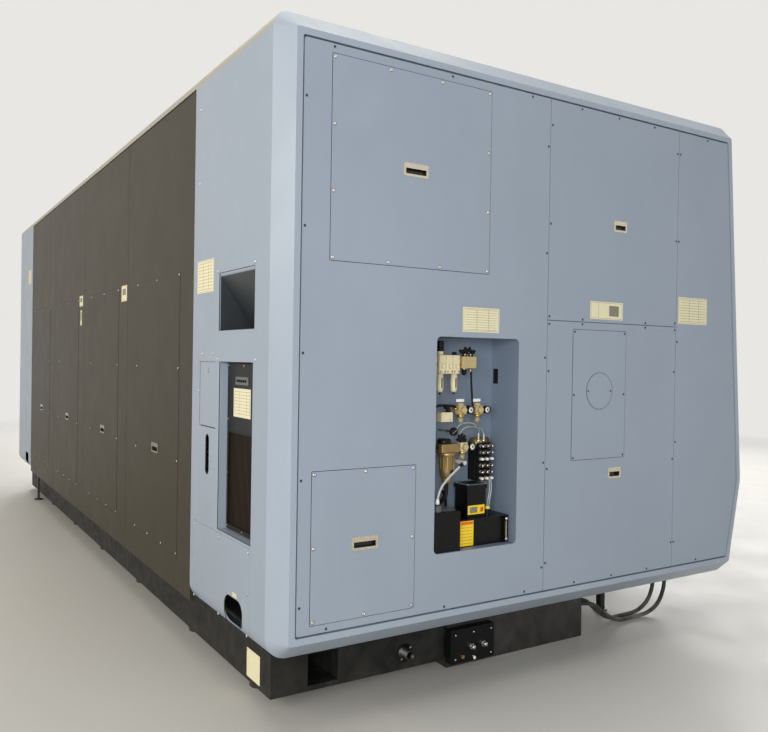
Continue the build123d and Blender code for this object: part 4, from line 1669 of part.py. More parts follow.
with BuildPart() as pressure_regulators:
    half = REGULATOR_SIZE / 2
    for reg_y, reg_z in REGULATORS:
        body_x = (REGULATOR_FACE_X, REGULATOR_FACE_X + REGULATOR_SIZE)
        block(body_x, (reg_y - half, reg_y + half), (reg_z - half, reg_z + half))
        cup_z = (reg_z - half - REGULATOR_CUP, reg_z - half + 1.0)
        rod_z(REGULATOR_X, reg_y, cup_z, REGULATOR_CUP_RADIUS)
        rod_z(REGULATOR_X, reg_y, (cup_z[1] - 14.0, cup_z[1]), REGULATOR_CUP_RADIUS + 5.0)
        gauge_y = reg_y - GAUGE_REACH
        rod_y(REGULATOR_X, (gauge_y, reg_y - half + 1.0), reg_z, FITTING_RADIUS)
        gauge_x = (REGULATOR_FACE_X - 8.0, REGULATOR_FACE_X - 8.0 + GAUGE_THICK)
        rod_x(gauge_x, gauge_y, reg_z, GAUGE_RADIUS)
        rod_x((gauge_x[1] - 1.0, REGULATOR_X + 10.0), gauge_y, reg_z, FITTING_RADIUS + 2.0)
        wall_bracket(reg_y, reg_z, 24.0, 20.0, REGULATOR_X + half - 1.0)
    for reg_y, reg_z in REGULATORS:
        gauge_y = reg_y - GAUGE_REACH
        dial_x = (gauge_x[0] - 1.0, gauge_x[0] + 2.0)
        rod_x(dial_x, gauge_y, reg_z, GAUGE_RADIUS - 3.0, Mode.SUBTRACT)
        stem_x = (REGULATOR_FACE_X - 1.0, REGULATOR_FACE_X + REGULATOR_STEM + 2.0)
        rod_x(stem_x, reg_y, reg_z, REGULATOR_STEM_RADIUS + FIT, Mode.SUBTRACT)
finish(pressure_regulators, "pressure_regulators")

for number, (reg_y, reg_z) in enumerate(REGULATORS, start=1):
    with BuildPart() as knob:
        knob_x = (REGULATOR_FACE_X - SLIDE_GAP - REGULATOR_KNOB, REGULATOR_FACE_X - SLIDE_GAP)
        rod_x(knob_x, reg_y, reg_z, REGULATOR_KNOB_RADIUS)
        knob_rim = knob.edges().filter_by(GeomType.CIRCLE).group_by(Axis.X)[0]
        chamfer(knob_rim, length=3.0)
        with BuildSketch(Plane.YZ.offset(knob_x[0] - 1.0)) as flutes:
            with Locations((reg_y, reg_z)):
                with PolarLocations(REGULATOR_KNOB_RADIUS, 8):
                    Circle(2.5)
        extrude(flutes.sketch, amount=REGULATOR_KNOB * 0.7, mode=Mode.SUBTRACT)
        stem_x = (knob_x[1], REGULATOR_FACE_X + REGULATOR_STEM)
        rod_x(stem_x, reg_y, reg_z, REGULATOR_STEM_RADIUS)
    finish(knob, f"regulator_knob_{number}")

with BuildPart() as valve_manifold:
    block((MANIFOLD_X, BAY_BACK_X), MANIFOLD_Y, MANIFOLD_Z)
    rows = (MANIFOLD_Z[1] - MANIFOLD_Z[0]) / FITTING_ROWS
    columns = (MANIFOLD_Y[1] - MANIFOLD_Y[0]) / FITTING_COLUMNS
    for row in range(FITTING_ROWS):
        for across in range(FITTING_COLUMNS):
            fitting_y = MANIFOLD_Y[0] + (across + 0.5) * columns
            fitting_z = MANIFOLD_Z[0] + (row + 0.5) * rows
            fitting_x = (MANIFOLD_X - FITTING, MANIFOLD_X + 1.0)
            rod_x(fitting_x, fitting_y, fitting_z, FITTING_RADIUS)
            rod_x((MANIFOLD_X - 9.0, MANIFOLD_X + 1.0), fitting_y, fitting_z, FITTING_RADIUS + 3.0)
finish(valve_manifold, "valve_manifold")

LUBE_BACK_X = BAY_BACK_X
FILLER_Y = RESERVOIR_Y[1] - FILLER_RADIUS - 12.0
FILLER_TOP = RESERVOIR_Z + FILLER

with BuildPart() as lube_unit:
    block((LUBE_FRONT_X, LUBE_BACK_X), LUBE_TANK_Y, (BAY_FLOOR, LUBE_TANK_Z))
    edges = lube_unit.edges().filter_by(Axis.Z).group_by(Axis.X)[0]
    fillet(edges, radius=6.0)
    block((RESERVOIR_X, LUBE_BACK_X), RESERVOIR_Y, (BAY_FLOOR, RESERVOIR_Z))
    joint_y = (LUBE_TANK_Y[1] - 1.0, RESERVOIR_Y[0] + 1.0)
    block((LUBE_FRONT_X + 30.0, LUBE_BACK_X), joint_y, (BAY_FLOOR, LUBE_TANK_Z - 30.0))
    rod_z(HOSE_TOP[0], FILLER_Y, (RESERVOIR_Z - 1.0, FILLER_TOP), FILLER_RADIUS)
    block(LUBE_PUMP_X, LUBE_PUMP_Y, (LUBE_TANK_Z - 1.0, LUBE_PUMP_Z))
    block(grown(LUBE_PUMP_X, 5.0), grown(LUBE_PUMP_Y, 5.0), (LUBE_PUMP_Z - 22.0, LUBE_PUMP_Z))
    gauge_y = LUBE_TANK_Y[0] + 34.0
    gauge_z = (BAY_FLOOR + 20.0, LUBE_TANK_Z - 14.0)
    rod_z(LUBE_FRONT_X - 12.0, gauge_y, gauge_z, 7.0)
    for end_z in gauge_z:
        bracket_y = (gauge_y - 10.0, gauge_y + 10.0)
        block((LUBE_FRONT_X - 21.0, LUBE_FRONT_X + 1.0), bracket_y, (end_z - 9.0, end_z + 9.0))
    fitting_y = LUBE_PUMP_Y[0] - 22.0
    rod_z(LUBE_FRONT_X + 45.0, fitting_y, (LUBE_TANK_Z - 1.0, LUBE_TANK_Z + 34.0), 13.0)
finish(lube_unit, "lube_unit")

with BuildPart() as bay_hose:
    end = (HOSE_TOP[0], FILLER_Y, FILLER_TOP)
    with BuildLine() as route:
        Spline(HOSE_TOP, HOSE_BEND, end, tangents=[(0, 0.8, -0.6), (0, 0, -1)])
    with BuildSketch(Plane(origin=HOSE_TOP, z_dir=route.line % 0)):
        Circle(HOSE_RADIUS)
    sweep(path=route.line)
    rod_x((HOSE_TOP[0] - 10.0, BAY_BACK_X), HOSE_TOP[1], HOSE_TOP[2], HOSE_RADIUS + 5.0)
finish(bay_hose, "bay_hose")

# Power cables


def cable_radii(points):
    """Bend radii that leave a straight part of every run of a cable."""
    radii = []
    for before, corner, after in zip(points, points[1:], points[2:]):
        run_in = Vector(*corner) - Vector(*before)
        run_out = Vector(*after) - Vector(*corner)
        half_turn = radians(run_in.get_angle(run_out)) / 2
        radii.append(CABLE_SHARE * min(run_in.length, run_out.length) / tan(half_turn))
    return radii


for number, route_points in enumerate(CABLE_ROUTES, start=1):
    with BuildPart() as cable:
        bends = cable_radii(route_points)
        with BuildLine() as cable_line:
            FilletPolyline(*route_points, radius=bends)
        with BuildSketch(Plane(origin=route_points[0], z_dir=cable_line.line % 0)):
            Circle(CABLE_RADIUS)
        sweep(path=cable_line.line)
    length = sum(edge.length for edge in cable_line.line.edges())
    section_volume = pi * CABLE_RADIUS**2 * length
    print(f"cable {number}: {length:.0f} mm long, tightest bend {min(bends):.0f} mm")
    print(f"  tube volume over section times length {cable.part.volume / section_volume:.4f}")
    print("  bends", [round(bend) for bend in bends])
    finish(cable, f"power_cable_{number}")
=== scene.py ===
import math
from functools import partial

import bmesh
import bpy
from mathutils import Matrix, Vector


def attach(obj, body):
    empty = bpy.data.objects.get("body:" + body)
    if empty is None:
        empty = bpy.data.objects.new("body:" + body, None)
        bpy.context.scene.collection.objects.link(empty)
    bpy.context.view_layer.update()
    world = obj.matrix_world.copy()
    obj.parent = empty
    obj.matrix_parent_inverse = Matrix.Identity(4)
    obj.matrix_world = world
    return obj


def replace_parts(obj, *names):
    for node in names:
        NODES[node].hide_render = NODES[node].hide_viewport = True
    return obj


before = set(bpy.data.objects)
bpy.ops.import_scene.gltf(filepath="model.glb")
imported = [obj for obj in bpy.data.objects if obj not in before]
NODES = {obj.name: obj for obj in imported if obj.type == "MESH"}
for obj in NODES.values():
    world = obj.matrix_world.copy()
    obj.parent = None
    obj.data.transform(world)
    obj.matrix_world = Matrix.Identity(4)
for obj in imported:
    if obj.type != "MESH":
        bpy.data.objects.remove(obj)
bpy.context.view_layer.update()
scene = bpy.context.scene


def tone(red, green, blue):
    """A colour from sRGB values of 0 to 255."""
    values = []
    for channel in (red, green, blue):
        share = channel / 255
        values.append(share / 12.92 if share <= 0.04045 else ((share + 0.055) / 1.055) ** 2.4)
    return (*values, 1.0)


def shade(colour, factor):
    """A colour made darker or lighter."""
    return (*[min(1.0, value * factor) for value in colour[:3]], 1.0)


# Camera

CAMERA_PLACE = (-7.044, 3.133, 1.669)
YAW, PITCH, ROLL = math.radians(-32.153), math.radians(-0.496), math.radians(0.918)
FOCAL_PIXELS = 794.2
PHOTO_WIDTH = 768
SENSOR_WIDTH = 36.0


def add_camera():
    """The photograph's own camera, at eye height off the machine's rear left corner."""
    forward = Vector((math.cos(YAW) * math.cos(PITCH), math.sin(YAW) * math.cos(PITCH), math.sin(PITCH)))
    level = forward.cross(Vector((0, 0, 1))).normalized()
    upright = level.cross(forward)
    across = level * math.cos(ROLL) + upright * math.sin(ROLL)
    top = upright * math.cos(ROLL) - level * math.sin(ROLL)
    data = bpy.data.cameras.new("camera")
    data.sensor_width = SENSOR_WIDTH
    data.lens = SENSOR_WIDTH * FOCAL_PIXELS / PHOTO_WIDTH
    data.clip_start = 0.05
    data.clip_end = 100.0
    camera = bpy.data.objects.new("camera", data)
    scene.collection.objects.link(camera)
    turn = Matrix((across, top, -forward)).transposed().to_4x4()
    camera.matrix_world = Matrix.Translation(CAMERA_PLACE) @ turn
    scene.camera = camera


add_camera()


# Materials

GRIME = (0.30, 0.28, 0.24, 1.0)
EVEN = (1, 1, 1)


def node(tree, kind, inputs, operation=None, data_type=None):
    """The outputs of a new shader node, its inputs set to values or joined to other outputs."""
    made = tree.nodes.new("ShaderNode" + kind)
    if operation:
        made.operation = operation
    if data_type:
        made.data_type = data_type
    for name, value in inputs.items():
        if isinstance(value, bpy.types.NodeSocket):
            tree.links.new(value, made.inputs[name])
        else:
            made.inputs[name].default_value = value
    return made.outputs


class Finish:
    """A procedural material whose colour, gloss and relief vary with the place on the machine."""

    def __init__(self, name, colour, rough, metal=0.0):
        self.material = bpy.data.materials.new(name)
        self.material.use_nodes = True
        self.tree = self.material.node_tree
        self.shader = self.tree.nodes["Principled BSDF"]
        self.set("Metallic", metal).set("Roughness", rough).set("Base Color", colour)
        self.place = node(self.tree, "TexCoord", {})["Object"]
        self.base = colour
        self.colour = colour
        self.rough = rough
        self.normal = None

    def set(self, name, value):
        """Sets one of the shader's constants."""
        self.shader.inputs[name].default_value = value
        return self

    def join(self, source, name):
        """Joins an output to one of the shader's inputs."""
        self.tree.links.new(source, self.shader.inputs[name])
        return self

    def noise(self, scale, detail=3.0, stretch=EVEN):
        """Cloudy noise, from 0 to 1."""
        place = node(self.tree, "Mapping", {"Vector": self.place, "Scale": stretch})["Vector"]
        sizes = {"Scale": scale, "Detail": detail, "Roughness": 0.55}
        return node(self.tree, "TexNoise", {"Vector": place, **sizes})["Fac"]

    def spread(self, value, low, high, first=0.0, last=1.0):
        """A value from one range carried to another, and clamped."""
        ends = {"From Min": low, "From Max": high, "To Min": first, "To Max": last}
        return node(self.tree, "MapRange", {"Value": value, **ends})["Result"]

    def times(self, first, second):
        return node(self.tree, "Math", {0: first, 1: second}, "MULTIPLY")["Value"]

    def axis(self, index):
        """X, Y or Z of the place."""
        return node(self.tree, "SeparateXYZ", {"Vector": self.place})[index]

    def tint(self, factor, colour):
        """Goes over to another colour where the factor is 1."""
        mixed = node(self.tree, "Mix", {0: factor, 6: self.colour, 7: colour}, data_type="RGBA")
        self.colour = mixed[2]
        return self.join(self.colour, "Base Color")

    def mottle(self, scale, amount, detail=3.0, stretch=EVEN):
        """Soft lighter and darker patches."""
        cloud = self.noise(scale, detail, stretch)
        self.tint(self.spread(cloud, 0.35, 0.65, 0.0, amount), shade(self.base, 0.55))
        return self.tint(self.spread(cloud, 0.62, 0.8, 0.0, amount), shade(self.base, 1.5))

    def gloss(self, scale, change, stretch=EVEN):
        """Duller and shinier patches."""
        cloud = self.noise(scale, 4.0, stretch)
        value = self.spread(cloud, 0.3, 0.7, self.rough - change, self.rough + change)
        return self.join(value, "Roughness")

    def relief(self, scale, height, strength=1.0, detail=2.0, stretch=EVEN):
        """Fine bumps of a height in metres, over those that are there."""
        inputs = {"Strength": strength, "Distance": height, "Height": self.noise(scale, detail, stretch)}
        if self.normal is not None:
            inputs["Normal"] = self.normal
        self.normal = node(self.tree, "Bump", inputs)["Normal"]
        return self.join(self.normal, "Normal")

    def dust(self, amount, top):
        """Grime that gathers towards the floor, up to a height."""
        low = self.spread(self.axis(2), 0.0, top, amount, 0.0)
        return self.tint(self.times(low, self.spread(self.noise(9.0, 6.0), 0.35, 0.7)), GRIME)


def sheet_paint(name, colour, rough=0.42, amount=0.10, waves=0.5, smears=0.06, grime=0.10):
    """Powder coat on sheet metal: orange peel, slow waves, faint smears and floor grime."""
    made = Finish(name, colour, rough).mottle(1.3, amount, 4.0)
    made.mottle(7.0, amount * 0.35, 6.0, (1, 1, 0.25)).gloss(5.0, smears)
    made.relief(1.6, 0.006, waves, 1.0).relief(420.0, 0.00012, 0.35)
    return made.dust(grime, 1.0)


def casting(name, colour, rough=0.55, height=0.0012, grime=0.25):
    """A painted casting with a sand-cast skin."""
    made = Finish(name, colour, rough).mottle(4.0, 0.08, 5.0).gloss(14.0, 0.10)
    return made.relief(38.0, height, 0.5, 5.0).relief(220.0, 0.0003, 0.4).dust(grime, 0.5)


def machined(name, colour, rough=0.26, stretch=(1, 40, 40)):
    """Ground or turned steel with fine lines."""
    made = Finish(name, colour, rough, 1.0).mottle(6.0, 0.12, 4.0, stretch)
    return made.gloss(12.0, 0.08, stretch).relief(60.0, 0.00005, 0.5, 3.0, stretch)


def plastic(name, colour, rough):
    """Moulded plastic with a fine grain."""
    made = Finish(name, colour, rough).mottle(30.0, 0.10, 4.0)
    return made.gloss(60.0, 0.06).relief(900.0, 0.00012, 0.4)


BLUE = tone(149, 160, 174)
blue_paint = sheet_paint("blue_paint", BLUE)
# The bay's inside is the blue paint made darker: painted shade in the recess.
bay_paint_painted_shade = sheet_paint("bay_paint_painted_shade", tone(120, 133, 150))
cap_paint = sheet_paint("cap_paint", tone(156, 167, 181), 0.38)
charcoal_paint = sheet_paint("charcoal_paint", tone(53, 47, 33), 0.46, 0.015, 0.04, 0.02, 0.03)
charcoal_paint.set("Specular IOR Level", 0.16)
# The roof is the blue paint given a lighter warm grey: painted light falling from above.
roof_paint_painted_light = sheet_paint("roof_paint_painted_light", tone(162, 157, 143), 0.5)
frame_paint = sheet_paint("frame_paint", tone(84, 86, 90), 0.6)
galvanised = Finish("galvanised", tone(168, 172, 174), 0.42, 0.9).mottle(22.0, 0.35, 2.0)
galvanised.gloss(30.0, 0.12).relief(90.0, 0.0002, 0.4)
black_casting = casting("black_casting", tone(20, 20, 18), 0.62, 0.0012, 0.08)
black_casting.set("Specular IOR Level", 0.25)
white_casting = casting("white_casting", tone(208, 210, 206), 0.5, 0.0006)
black_paint = sheet_paint("black_paint", tone(20, 20, 20), 0.4)
tank_black = Finish("tank_black", tone(9, 9, 10), 0.3).mottle(8.0, 0.3, 4.0).gloss(20.0, 0.08)
tank_black.relief(260.0, 0.0002, 0.4).set("Specular IOR Level", 0.25)
ground_steel = machined("ground_steel", tone(176, 178, 180))
turned_steel = machined("turned_steel", tone(140, 142, 145), 0.3, (40, 4, 4))
zinc = machined("zinc", tone(206, 206, 202), 0.3, EVEN)
dark_zinc = machined("dark_zinc", tone(70, 70, 70), 0.4, EVEN)
chrome = machined("chrome", tone(214, 208, 196), 0.16, EVEN)
brass = machined("brass", tone(201, 164, 92), 0.32, EVEN)
bronze = Finish("bronze", tone(156, 132, 88), 0.42, 0.7).mottle(26.0, 0.3, 5.0).gloss(30.0, 0.1)
bronze.relief(160.0, 0.0003, 0.5, 4.0)
cream = plastic("cream", tone(222, 210, 172), 0.42)
beige = plastic("beige", tone(190, 172, 126), 0.44)
smoked = plastic("smoked", tone(152, 140, 104), 0.14)
black_plastic = plastic("black_plastic", tone(17, 17, 18), 0.42).set("Specular IOR Level", 0.16)
grey_plastic = plastic("grey_plastic", tone(96, 98, 100), 0.5)
white_plastic = plastic("white_plastic", tone(236, 236, 230), 0.35)
rubber = Finish("rubber", tone(26, 26, 26), 0.62).mottle(40.0, 0.2, 4.0).gloss(30.0, 0.1)
rubber.relief(300.0, 0.0002, 0.5, 3.0).dust(0.5, 0.25)
braid = Finish("braid", tone(196, 198, 192), 0.3).mottle(260.0, 0.45, 1.0).relief(420.0, 0.0005, 0.6)
yellow = plastic("yellow", tone(246, 208, 22), 0.4)
orange = plastic("orange", tone(226, 104, 34), 0.4)
lime = plastic("lime", tone(212, 214, 96), 0.4)
paper = plastic("paper", tone(230, 222, 186), 0.55)
ink = plastic("ink", tone(128, 124, 108), 0.55)
red = plastic("red", tone(196, 28, 24), 0.28)
green = plastic("green", tone(34, 138, 66), 0.28)
panel_paint = sheet_paint("panel_paint", tone(112, 118, 128), 0.45)
screen = Finish("screen", tone(14, 20, 28), 0.12).mottle(5.0, 0.3).gloss(8.0, 0.05)
clear_tube = plastic("clear_tube", tone(196, 204, 196), 0.15).set("Transmission Weight", 0.55)

glass = Finish("glass", tone(176, 192, 190), 0.06).mottle(3.0, 0.2).gloss(4.0, 0.03)
glass.set("Transmission Weight", 0.85).set("IOR", 1.45)


def cup_handles():
    """Bright handle frames whose cup is black behind the panel's face, and which are darker on the rear side
    as painted shade.
    """
    made = Finish("handle_frames", tone(216, 207, 186), 0.24, 0.75).mottle(40.0, 0.2, 4.0)
    made.gloss(60.0, 0.08).relief(500.0, 0.0001, 0.4)
    behind_end = made.spread(made.axis(0), -3.9466, -3.9460)
    depth = made.times(behind_end, made.spread(made.axis(1), 1.6932, 1.6926))
    # Handles on the rear side are darkened: painted shade.
    rear_handle_shade = made.spread(made.axis(1), 1.690, 1.691)
    made.tint(rear_handle_shade, tone(128, 120, 98))
    made.tint(depth, tone(12, 12, 12))
    return made.join(made.spread(depth, 0.0, 1.0, 0.75, 0.0), "Metallic")


def band(finish, axis, low, high):
    """1 between two places along an axis, and 0 from 2 mm outside them."""
    place = finish.axis(axis)
    rise = finish.spread(place, low - 0.002, low)
    return finish.times(rise, finish.spread(place, high, high + 0.002, 1.0, 0.0))


def column_with_painted_recess_shade():
    """The rear column's blue, with the square recess's hood darkened to dark grey as painted shade."""
    made = sheet_paint("column_paint", BLUE)
    # Darkens the inside of the square recess: painted shade.
    inside = made.times(band(made, 1, 1.40, 1.688), band(made, 2, 1.79, 2.20))
    return made.tint(inside, tone(46, 51, 54))


def cooler_finish():
    """Near black paint, with brown filter mesh behind the cooler's fins."""
    made = sheet_paint("cooler_paint", tone(17, 17, 16), 0.4).set("Specular IOR Level", 0.2)
    mesh = made.times(band(made, 2, 0.70, 1.293), band(made, 1, 1.50, 1.6526))
    return made.tint(mesh, tone(38, 29, 18))


def dress(finish, *names):
    """Gives CAD nodes a material."""
    for name in names:
        slots = NODES[name].material_slots
        if not slots:
            NODES[name].data.materials.append(finish.material)
        for slot in slots:
            slot.material = finish.material


dress(black_casting, "bed")
dress(ground_steel, "guide_rails", "chuck_jaw_1", "chuck_jaw_2", "chuck_jaw_3", "tailstock_quill",
      "live_centre", "tool_spindle", "hatch_latch")
dress(turned_steel, "main_spindle", "tool_magazine")
dress(black_paint, "levelling_feet", "coolant_tank")
dress(tank_black, "lube_unit")
dress(white_casting, "headstock", "tailstock", "column_saddle", "column", "ram", "milling_head")
dress(galvanised, "chip_pan")
dress(frame_paint, "enclosure_frame")
dress(cap_paint, "left_end_cap", "right_end_cap", "sliding_door")
dress(blue_paint, "left_rear_panel", "left_upper_panel", "left_lower_panel", "left_front_panel",
      "upper_access_plate", "lower_access_plate", "inspection_plate", "round_cover", "right_end_panels",
      "rear_right_column", "cable_cover", "service_hatch", "front_covers", "front_walls")
dress(column_with_painted_recess_shade(), "rear_left_column")
dress(bay_paint_painted_shade, "bay_box")
dress(cup_handles(), "pull_handles")
dress(charcoal_paint, "rear_panels", "rear_access_plates")
dress(roof_paint_painted_light, "roof_panels")
dress(cooler_finish(), "panel_cooler")
dress(glass, "door_window")
dress(panel_paint, "operator_panel")
dress(red, "emergency_stop")
dress(green, "start_button")
dress(black_plastic, "feed_knob", "valve_manifold")
dress(bronze, "air_service_unit")
dress(beige, "pressure_regulators", "regulator_knob_1", "regulator_knob_2", "regulator_knob_3")
dress(braid, "bay_hose")


# Making pieces, whose sizes and places are in millimetres as in part.py

TURNS = {
    "left": ((0, -1, 0), (0, 0, 1), (-1, 0, 0)),
    "rear": ((-1, 0, 0), (0, 0, 1), (0, 1, 0)),
    "right": ((0, 1, 0), (0, 0, 1), (1, 0, 0)),
    "front": ((1, 0, 0), (0, 0, 1), (0, -1, 0)),
    "up": ((1, 0, 0), (0, 1, 0), (0, 0, 1)),
    "down": ((1, 0, 0), (0, -1, 0), (0, 0, -1)),
}


def facing(side, x, y, z):
    """A frame at a point: first axis to the right, second up and third out, as seen from that side."""
    turn = Matrix([Vector(axis) for axis in TURNS[side]]).transposed().to_4x4()
    return Matrix.Translation((x, y, z)) @ turn


leftward = partial(facing, "left")
rightward = partial(facing, "right")
frontward = partial(facing, "front")
rearward = partial(facing, "rear")
upward = partial(facing, "up")
downward = partial(facing, "down")


def on_plane(side, plane, across, height):
    """A frame on an upright plane of the machine, seen from that side."""
    if side in ("left", "right"):
        return facing(side, plane, across, height)
    return facing(side, across, plane, height)


def moved(at, u, v, w):
    """A frame shifted along its own axes."""
    return at @ Matrix.Translation((u, v, w))


def around(at, radius, angle, lift=0.0):
    """A frame set off round another's third axis, and turned with it."""
    return at @ Matrix.Rotation(angle, 4, "Z") @ Matrix.Translation((radius, 0, lift))


def skin(shape, rings):
    """Joins each ring of corners to the next with faces, where a ring of one corner is a tip."""
    for low, high in zip(rings, rings[1:]):
        count = max(len(low), len(high))
        for step in range(count):
            following = (step + 1) % count
            corners = (low[step % len(low)], low[following % len(low)],
                       high[following % len(high)], high[step % len(high)])
            shape.faces.new(list(dict.fromkeys(corners)))
    bmesh.ops.recalc_face_normals(shape, faces=shape.faces)


PAN_HEAD = (
    (0, 0), (1, 0), (1, 0.25), (0.94, 0.55), (0.78, 0.82), (0.5, 0.97), (0.3, 1), (0.24, 0.45), (0, 0.4),
)
SUNK_HEAD = ((0, 0), (1, 0), (1, 0.5), (0.85, 0.8), (0.5, 0.85), (0.42, 0.2), (0, 0.15))
SOCKET_HEAD = ((0, 0), (1, 0), (1, 0.85), (0.9, 1), (0.55, 1), (0.5, 0.45), (0, 0.4))


class Piece:
    """Collects shapes into one mesh that rides on a body."""

    def __init__(self, name, body, slot, *finishes):
        self.name = name
        self.body = body
        self.slot = slot
        self.finishes = finishes
        self.mesh = bmesh.new()

    def keep(self, shape, at, index, smooth=False):
        """Adds a finished shape at a frame."""
        bmesh.ops.transform(shape, matrix=at, verts=shape.verts)
        for face in shape.faces:
            face.material_index = index
            face.smooth = smooth
        data = bpy.data.meshes.new("part")
        shape.to_mesh(data)
        shape.free()
        self.mesh.from_mesh(data)
        bpy.data.meshes.remove(data)

    def box(self, at, size, index, edge):
        """A block with softened edges, standing on the frame's face."""
        shape = bmesh.new()
        bmesh.ops.create_cube(shape, size=1.0)
        bmesh.ops.scale(shape, vec=size, verts=shape.verts)
        soft = min(edge, min(size) * 0.4)
        bmesh.ops.bevel(shape, geom=shape.edges[:], offset=soft, segments=2, affect="EDGES", profile=0.5)
        bmesh.ops.translate(shape, vec=(0, 0, size[2] / 2), verts=shape.verts)
        self.keep(shape, at, index)

    def turned(self, at, profile, index, steps):
        """A turned shape from radius and height pairs along the frame's third axis."""
        shape = bmesh.new()
        rings = []
        for radius, height in profile:
            count = steps if radius > 0 else 1
            angles = [2 * math.pi * step / count for step in range(count)]
            ring = [(radius * math.cos(angle), radius * math.sin(angle), height) for angle in angles]
            rings.append([shape.verts.new(corner) for corner in ring])
        skin(shape, rings)
        self.keep(shape, at, index, steps > 8)

    def solid(self, at, profile, index, steps):
        """A turned shape closed to its axis below, and above unless its profile ends there."""
        closed = [(0, profile[0][1]), *profile]
        if profile[-1][0] > 0:
            closed.append((0, profile[-1][1]))
        self.turned(at, closed, index, steps)

    def rod(self, at, radius, height, index, steps):
        """A plain cylinder."""
        self.solid(at, ((radius, 0), (radius, height)), index, steps)

    def washer(self, at, inner, outer, low, high, index, steps):
        """A flat ring, open on its inside."""
        self.turned(at, ((inner, low), (outer, low), (outer, high), (inner, high)), index, steps)

    def screw(self, at, size, index, head=PAN_HEAD, steps=12):
        """A screw head of a radius and height."""
        radius, height = size
        self.turned(at, [(share * radius, rise * height) for share, rise in head], index, steps)

    def socket(self, at, size, index):
        """A socket screw's head."""
        self.screw(at, size, index, SOCKET_HEAD, 16)

    def sockets(self, at, radius, count, size, index, start=0.0):
        """Socket screws on a circle."""
        for step in range(count):
            self.socket(around(at, radius, start + 2 * math.pi * step / count), size, index)

    def nut(self, at, radius, height, index):
        """A hexagon with broken corners."""
        flat = radius * 0.94
        profile = ((flat, 0), (radius, height * 0.12), (radius, height * 0.88), (flat, height))
        self.solid(at, profile, index, 6)

    def pipe(self, points, radius, index, steps=10):
        """A round tube through points, closed at both ends."""
        shape = bmesh.new()
        side = None
        rings = []
        for number, point in enumerate(points):
            before = points[max(0, number - 1)]
            after = points[min(len(points) - 1, number + 1)]
            ahead = (after - before).normalized()
            if side is None:
                side = ahead.orthogonal().normalized()
            side = (side - ahead * side.dot(ahead)).normalized()
            other = ahead.cross(side)
            angles = [2 * math.pi * step / steps for step in range(steps)]
            ring = [point + radius * (side * math.cos(angle) + other * math.sin(angle)) for angle in angles]
            rings.append([shape.verts.new(corner) for corner in ring])
        shape.faces.new(rings[0])
        shape.faces.new(rings[-1])
        skin(shape, rings)
        self.keep(shape, Matrix.Identity(4), index, True)

    def frame(self, at, size, radius, width, height, index):
        """A rounded rectangular frame on the face, its size taken over the outside."""
        shape = bmesh.new()
        rows = []
        for share, rise in ((0, 0), (0, 0.7), (0.2, 1), (0.8, 1), (1, 0.7), (1, 0)):
            inset = share * width
            line = rounded(size[0] - 2 * inset, size[1] - 2 * inset, max(radius - inset, 0.5))
            rows.append([shape.verts.new((u, v, rise * height)) for u, v in line])
        skin(shape, [*rows, rows[0]])
        self.keep(shape, at, index)

    def done(self):
        """Makes the object, in metres, and puts it on its body."""
        bmesh.ops.scale(self.mesh, vec=(0.001, 0.001, 0.001), verts=self.mesh.verts)
        data = bpy.data.meshes.new(self.name)
        self.mesh.to_mesh(data)
        self.mesh.free()
        for finish in self.finishes:
            data.materials.append(finish.material)
        made = bpy.data.objects.new(self.name, data)
        scene.collection.objects.link(made)
        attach(made, self.body)
        return made


def rounded(width, height, radius):
    """Points round a rectangle with round corners."""
    steps = 6
    found = []
    for number, (u, v) in enumerate(((1, 1), (-1, 1), (-1, -1), (1, -1))):
        for step in range(steps + 1):
            angle = math.pi / 2 * (number + step / steps)
            found.append((u * (width / 2 - radius) + radius * math.cos(angle),
                          v * (height / 2 - radius) + radius * math.sin(angle)))
    return found


def curved(*points):
    """A smooth line through a few points."""
    steps = 8
    points = [Vector(point) for point in points]
    padded = [points[0] * 2 - points[1], *points, points[-1] * 2 - points[-2]]
    line = []
    for before, start, end, after in zip(padded, padded[1:], padded[2:], padded[3:]):
        for step in range(steps):
            t = step / steps
            near = start * 2 + (end - before) * t + (before * 2 - start * 5 + end * 4 - after) * t * t
            line.append((near + (start * 3 - before - end * 3 + after) * t * t * t) / 2)
    return line + [points[-1]]


def screws(name, side, plane, points, size, finish, head=PAN_HEAD, rim=1.16):
    """Screw heads on one side of the machine, each on a thin dark ring that is painted shadow round the head.
    """
    piece = Piece(name, "machine", "ground_steel", finish, rubber)
    radius = size[0]
    for across, height in points:
        at = on_plane(side, plane, across, height)
        piece.screw(at, size, 0, head)
        # The dark ring under the head is painted shadow.
        piece.washer(at, radius, radius * rim, 0, 0.3, 1, 12)
    return piece.done()


def between(first, last, count):
    """Evenly spaced numbers from first to last."""
    return [first + (last - first) * step / (count - 1) for step in range(count)]


def border(centre, size, margin, across, up):
    """Points round a rectangle: so many along its top and bottom, and so many up each side."""
    (u, v), (width, height) = centre, size
    sides = (u - width / 2 + margin, u + width / 2 - margin)
    ends = (v - height / 2 + margin, v + height / 2 - margin)
    found = [(a, b) for a in between(*sides, across) for b in ends]
    return found + [(a, b) for b in between(*ends, up)[1:-1] for a in sides]


# Floor and light


def fade_out(made, near, far):
    """Makes a finish clear between two distances from the machine's middle."""
    tree = made.tree
    distance = node(tree, "VectorMath", {0: made.place}, "LENGTH")["Value"]
    clear = node(tree, "BsdfTransparent", {})["BSDF"]
    share = made.spread(distance, near, far)
    mix = node(tree, "MixShader", {"Fac": share, 1: made.shader.outputs["BSDF"], 2: clear})
    tree.links.new(mix["Shader"], tree.nodes["Material Output"].inputs["Surface"])


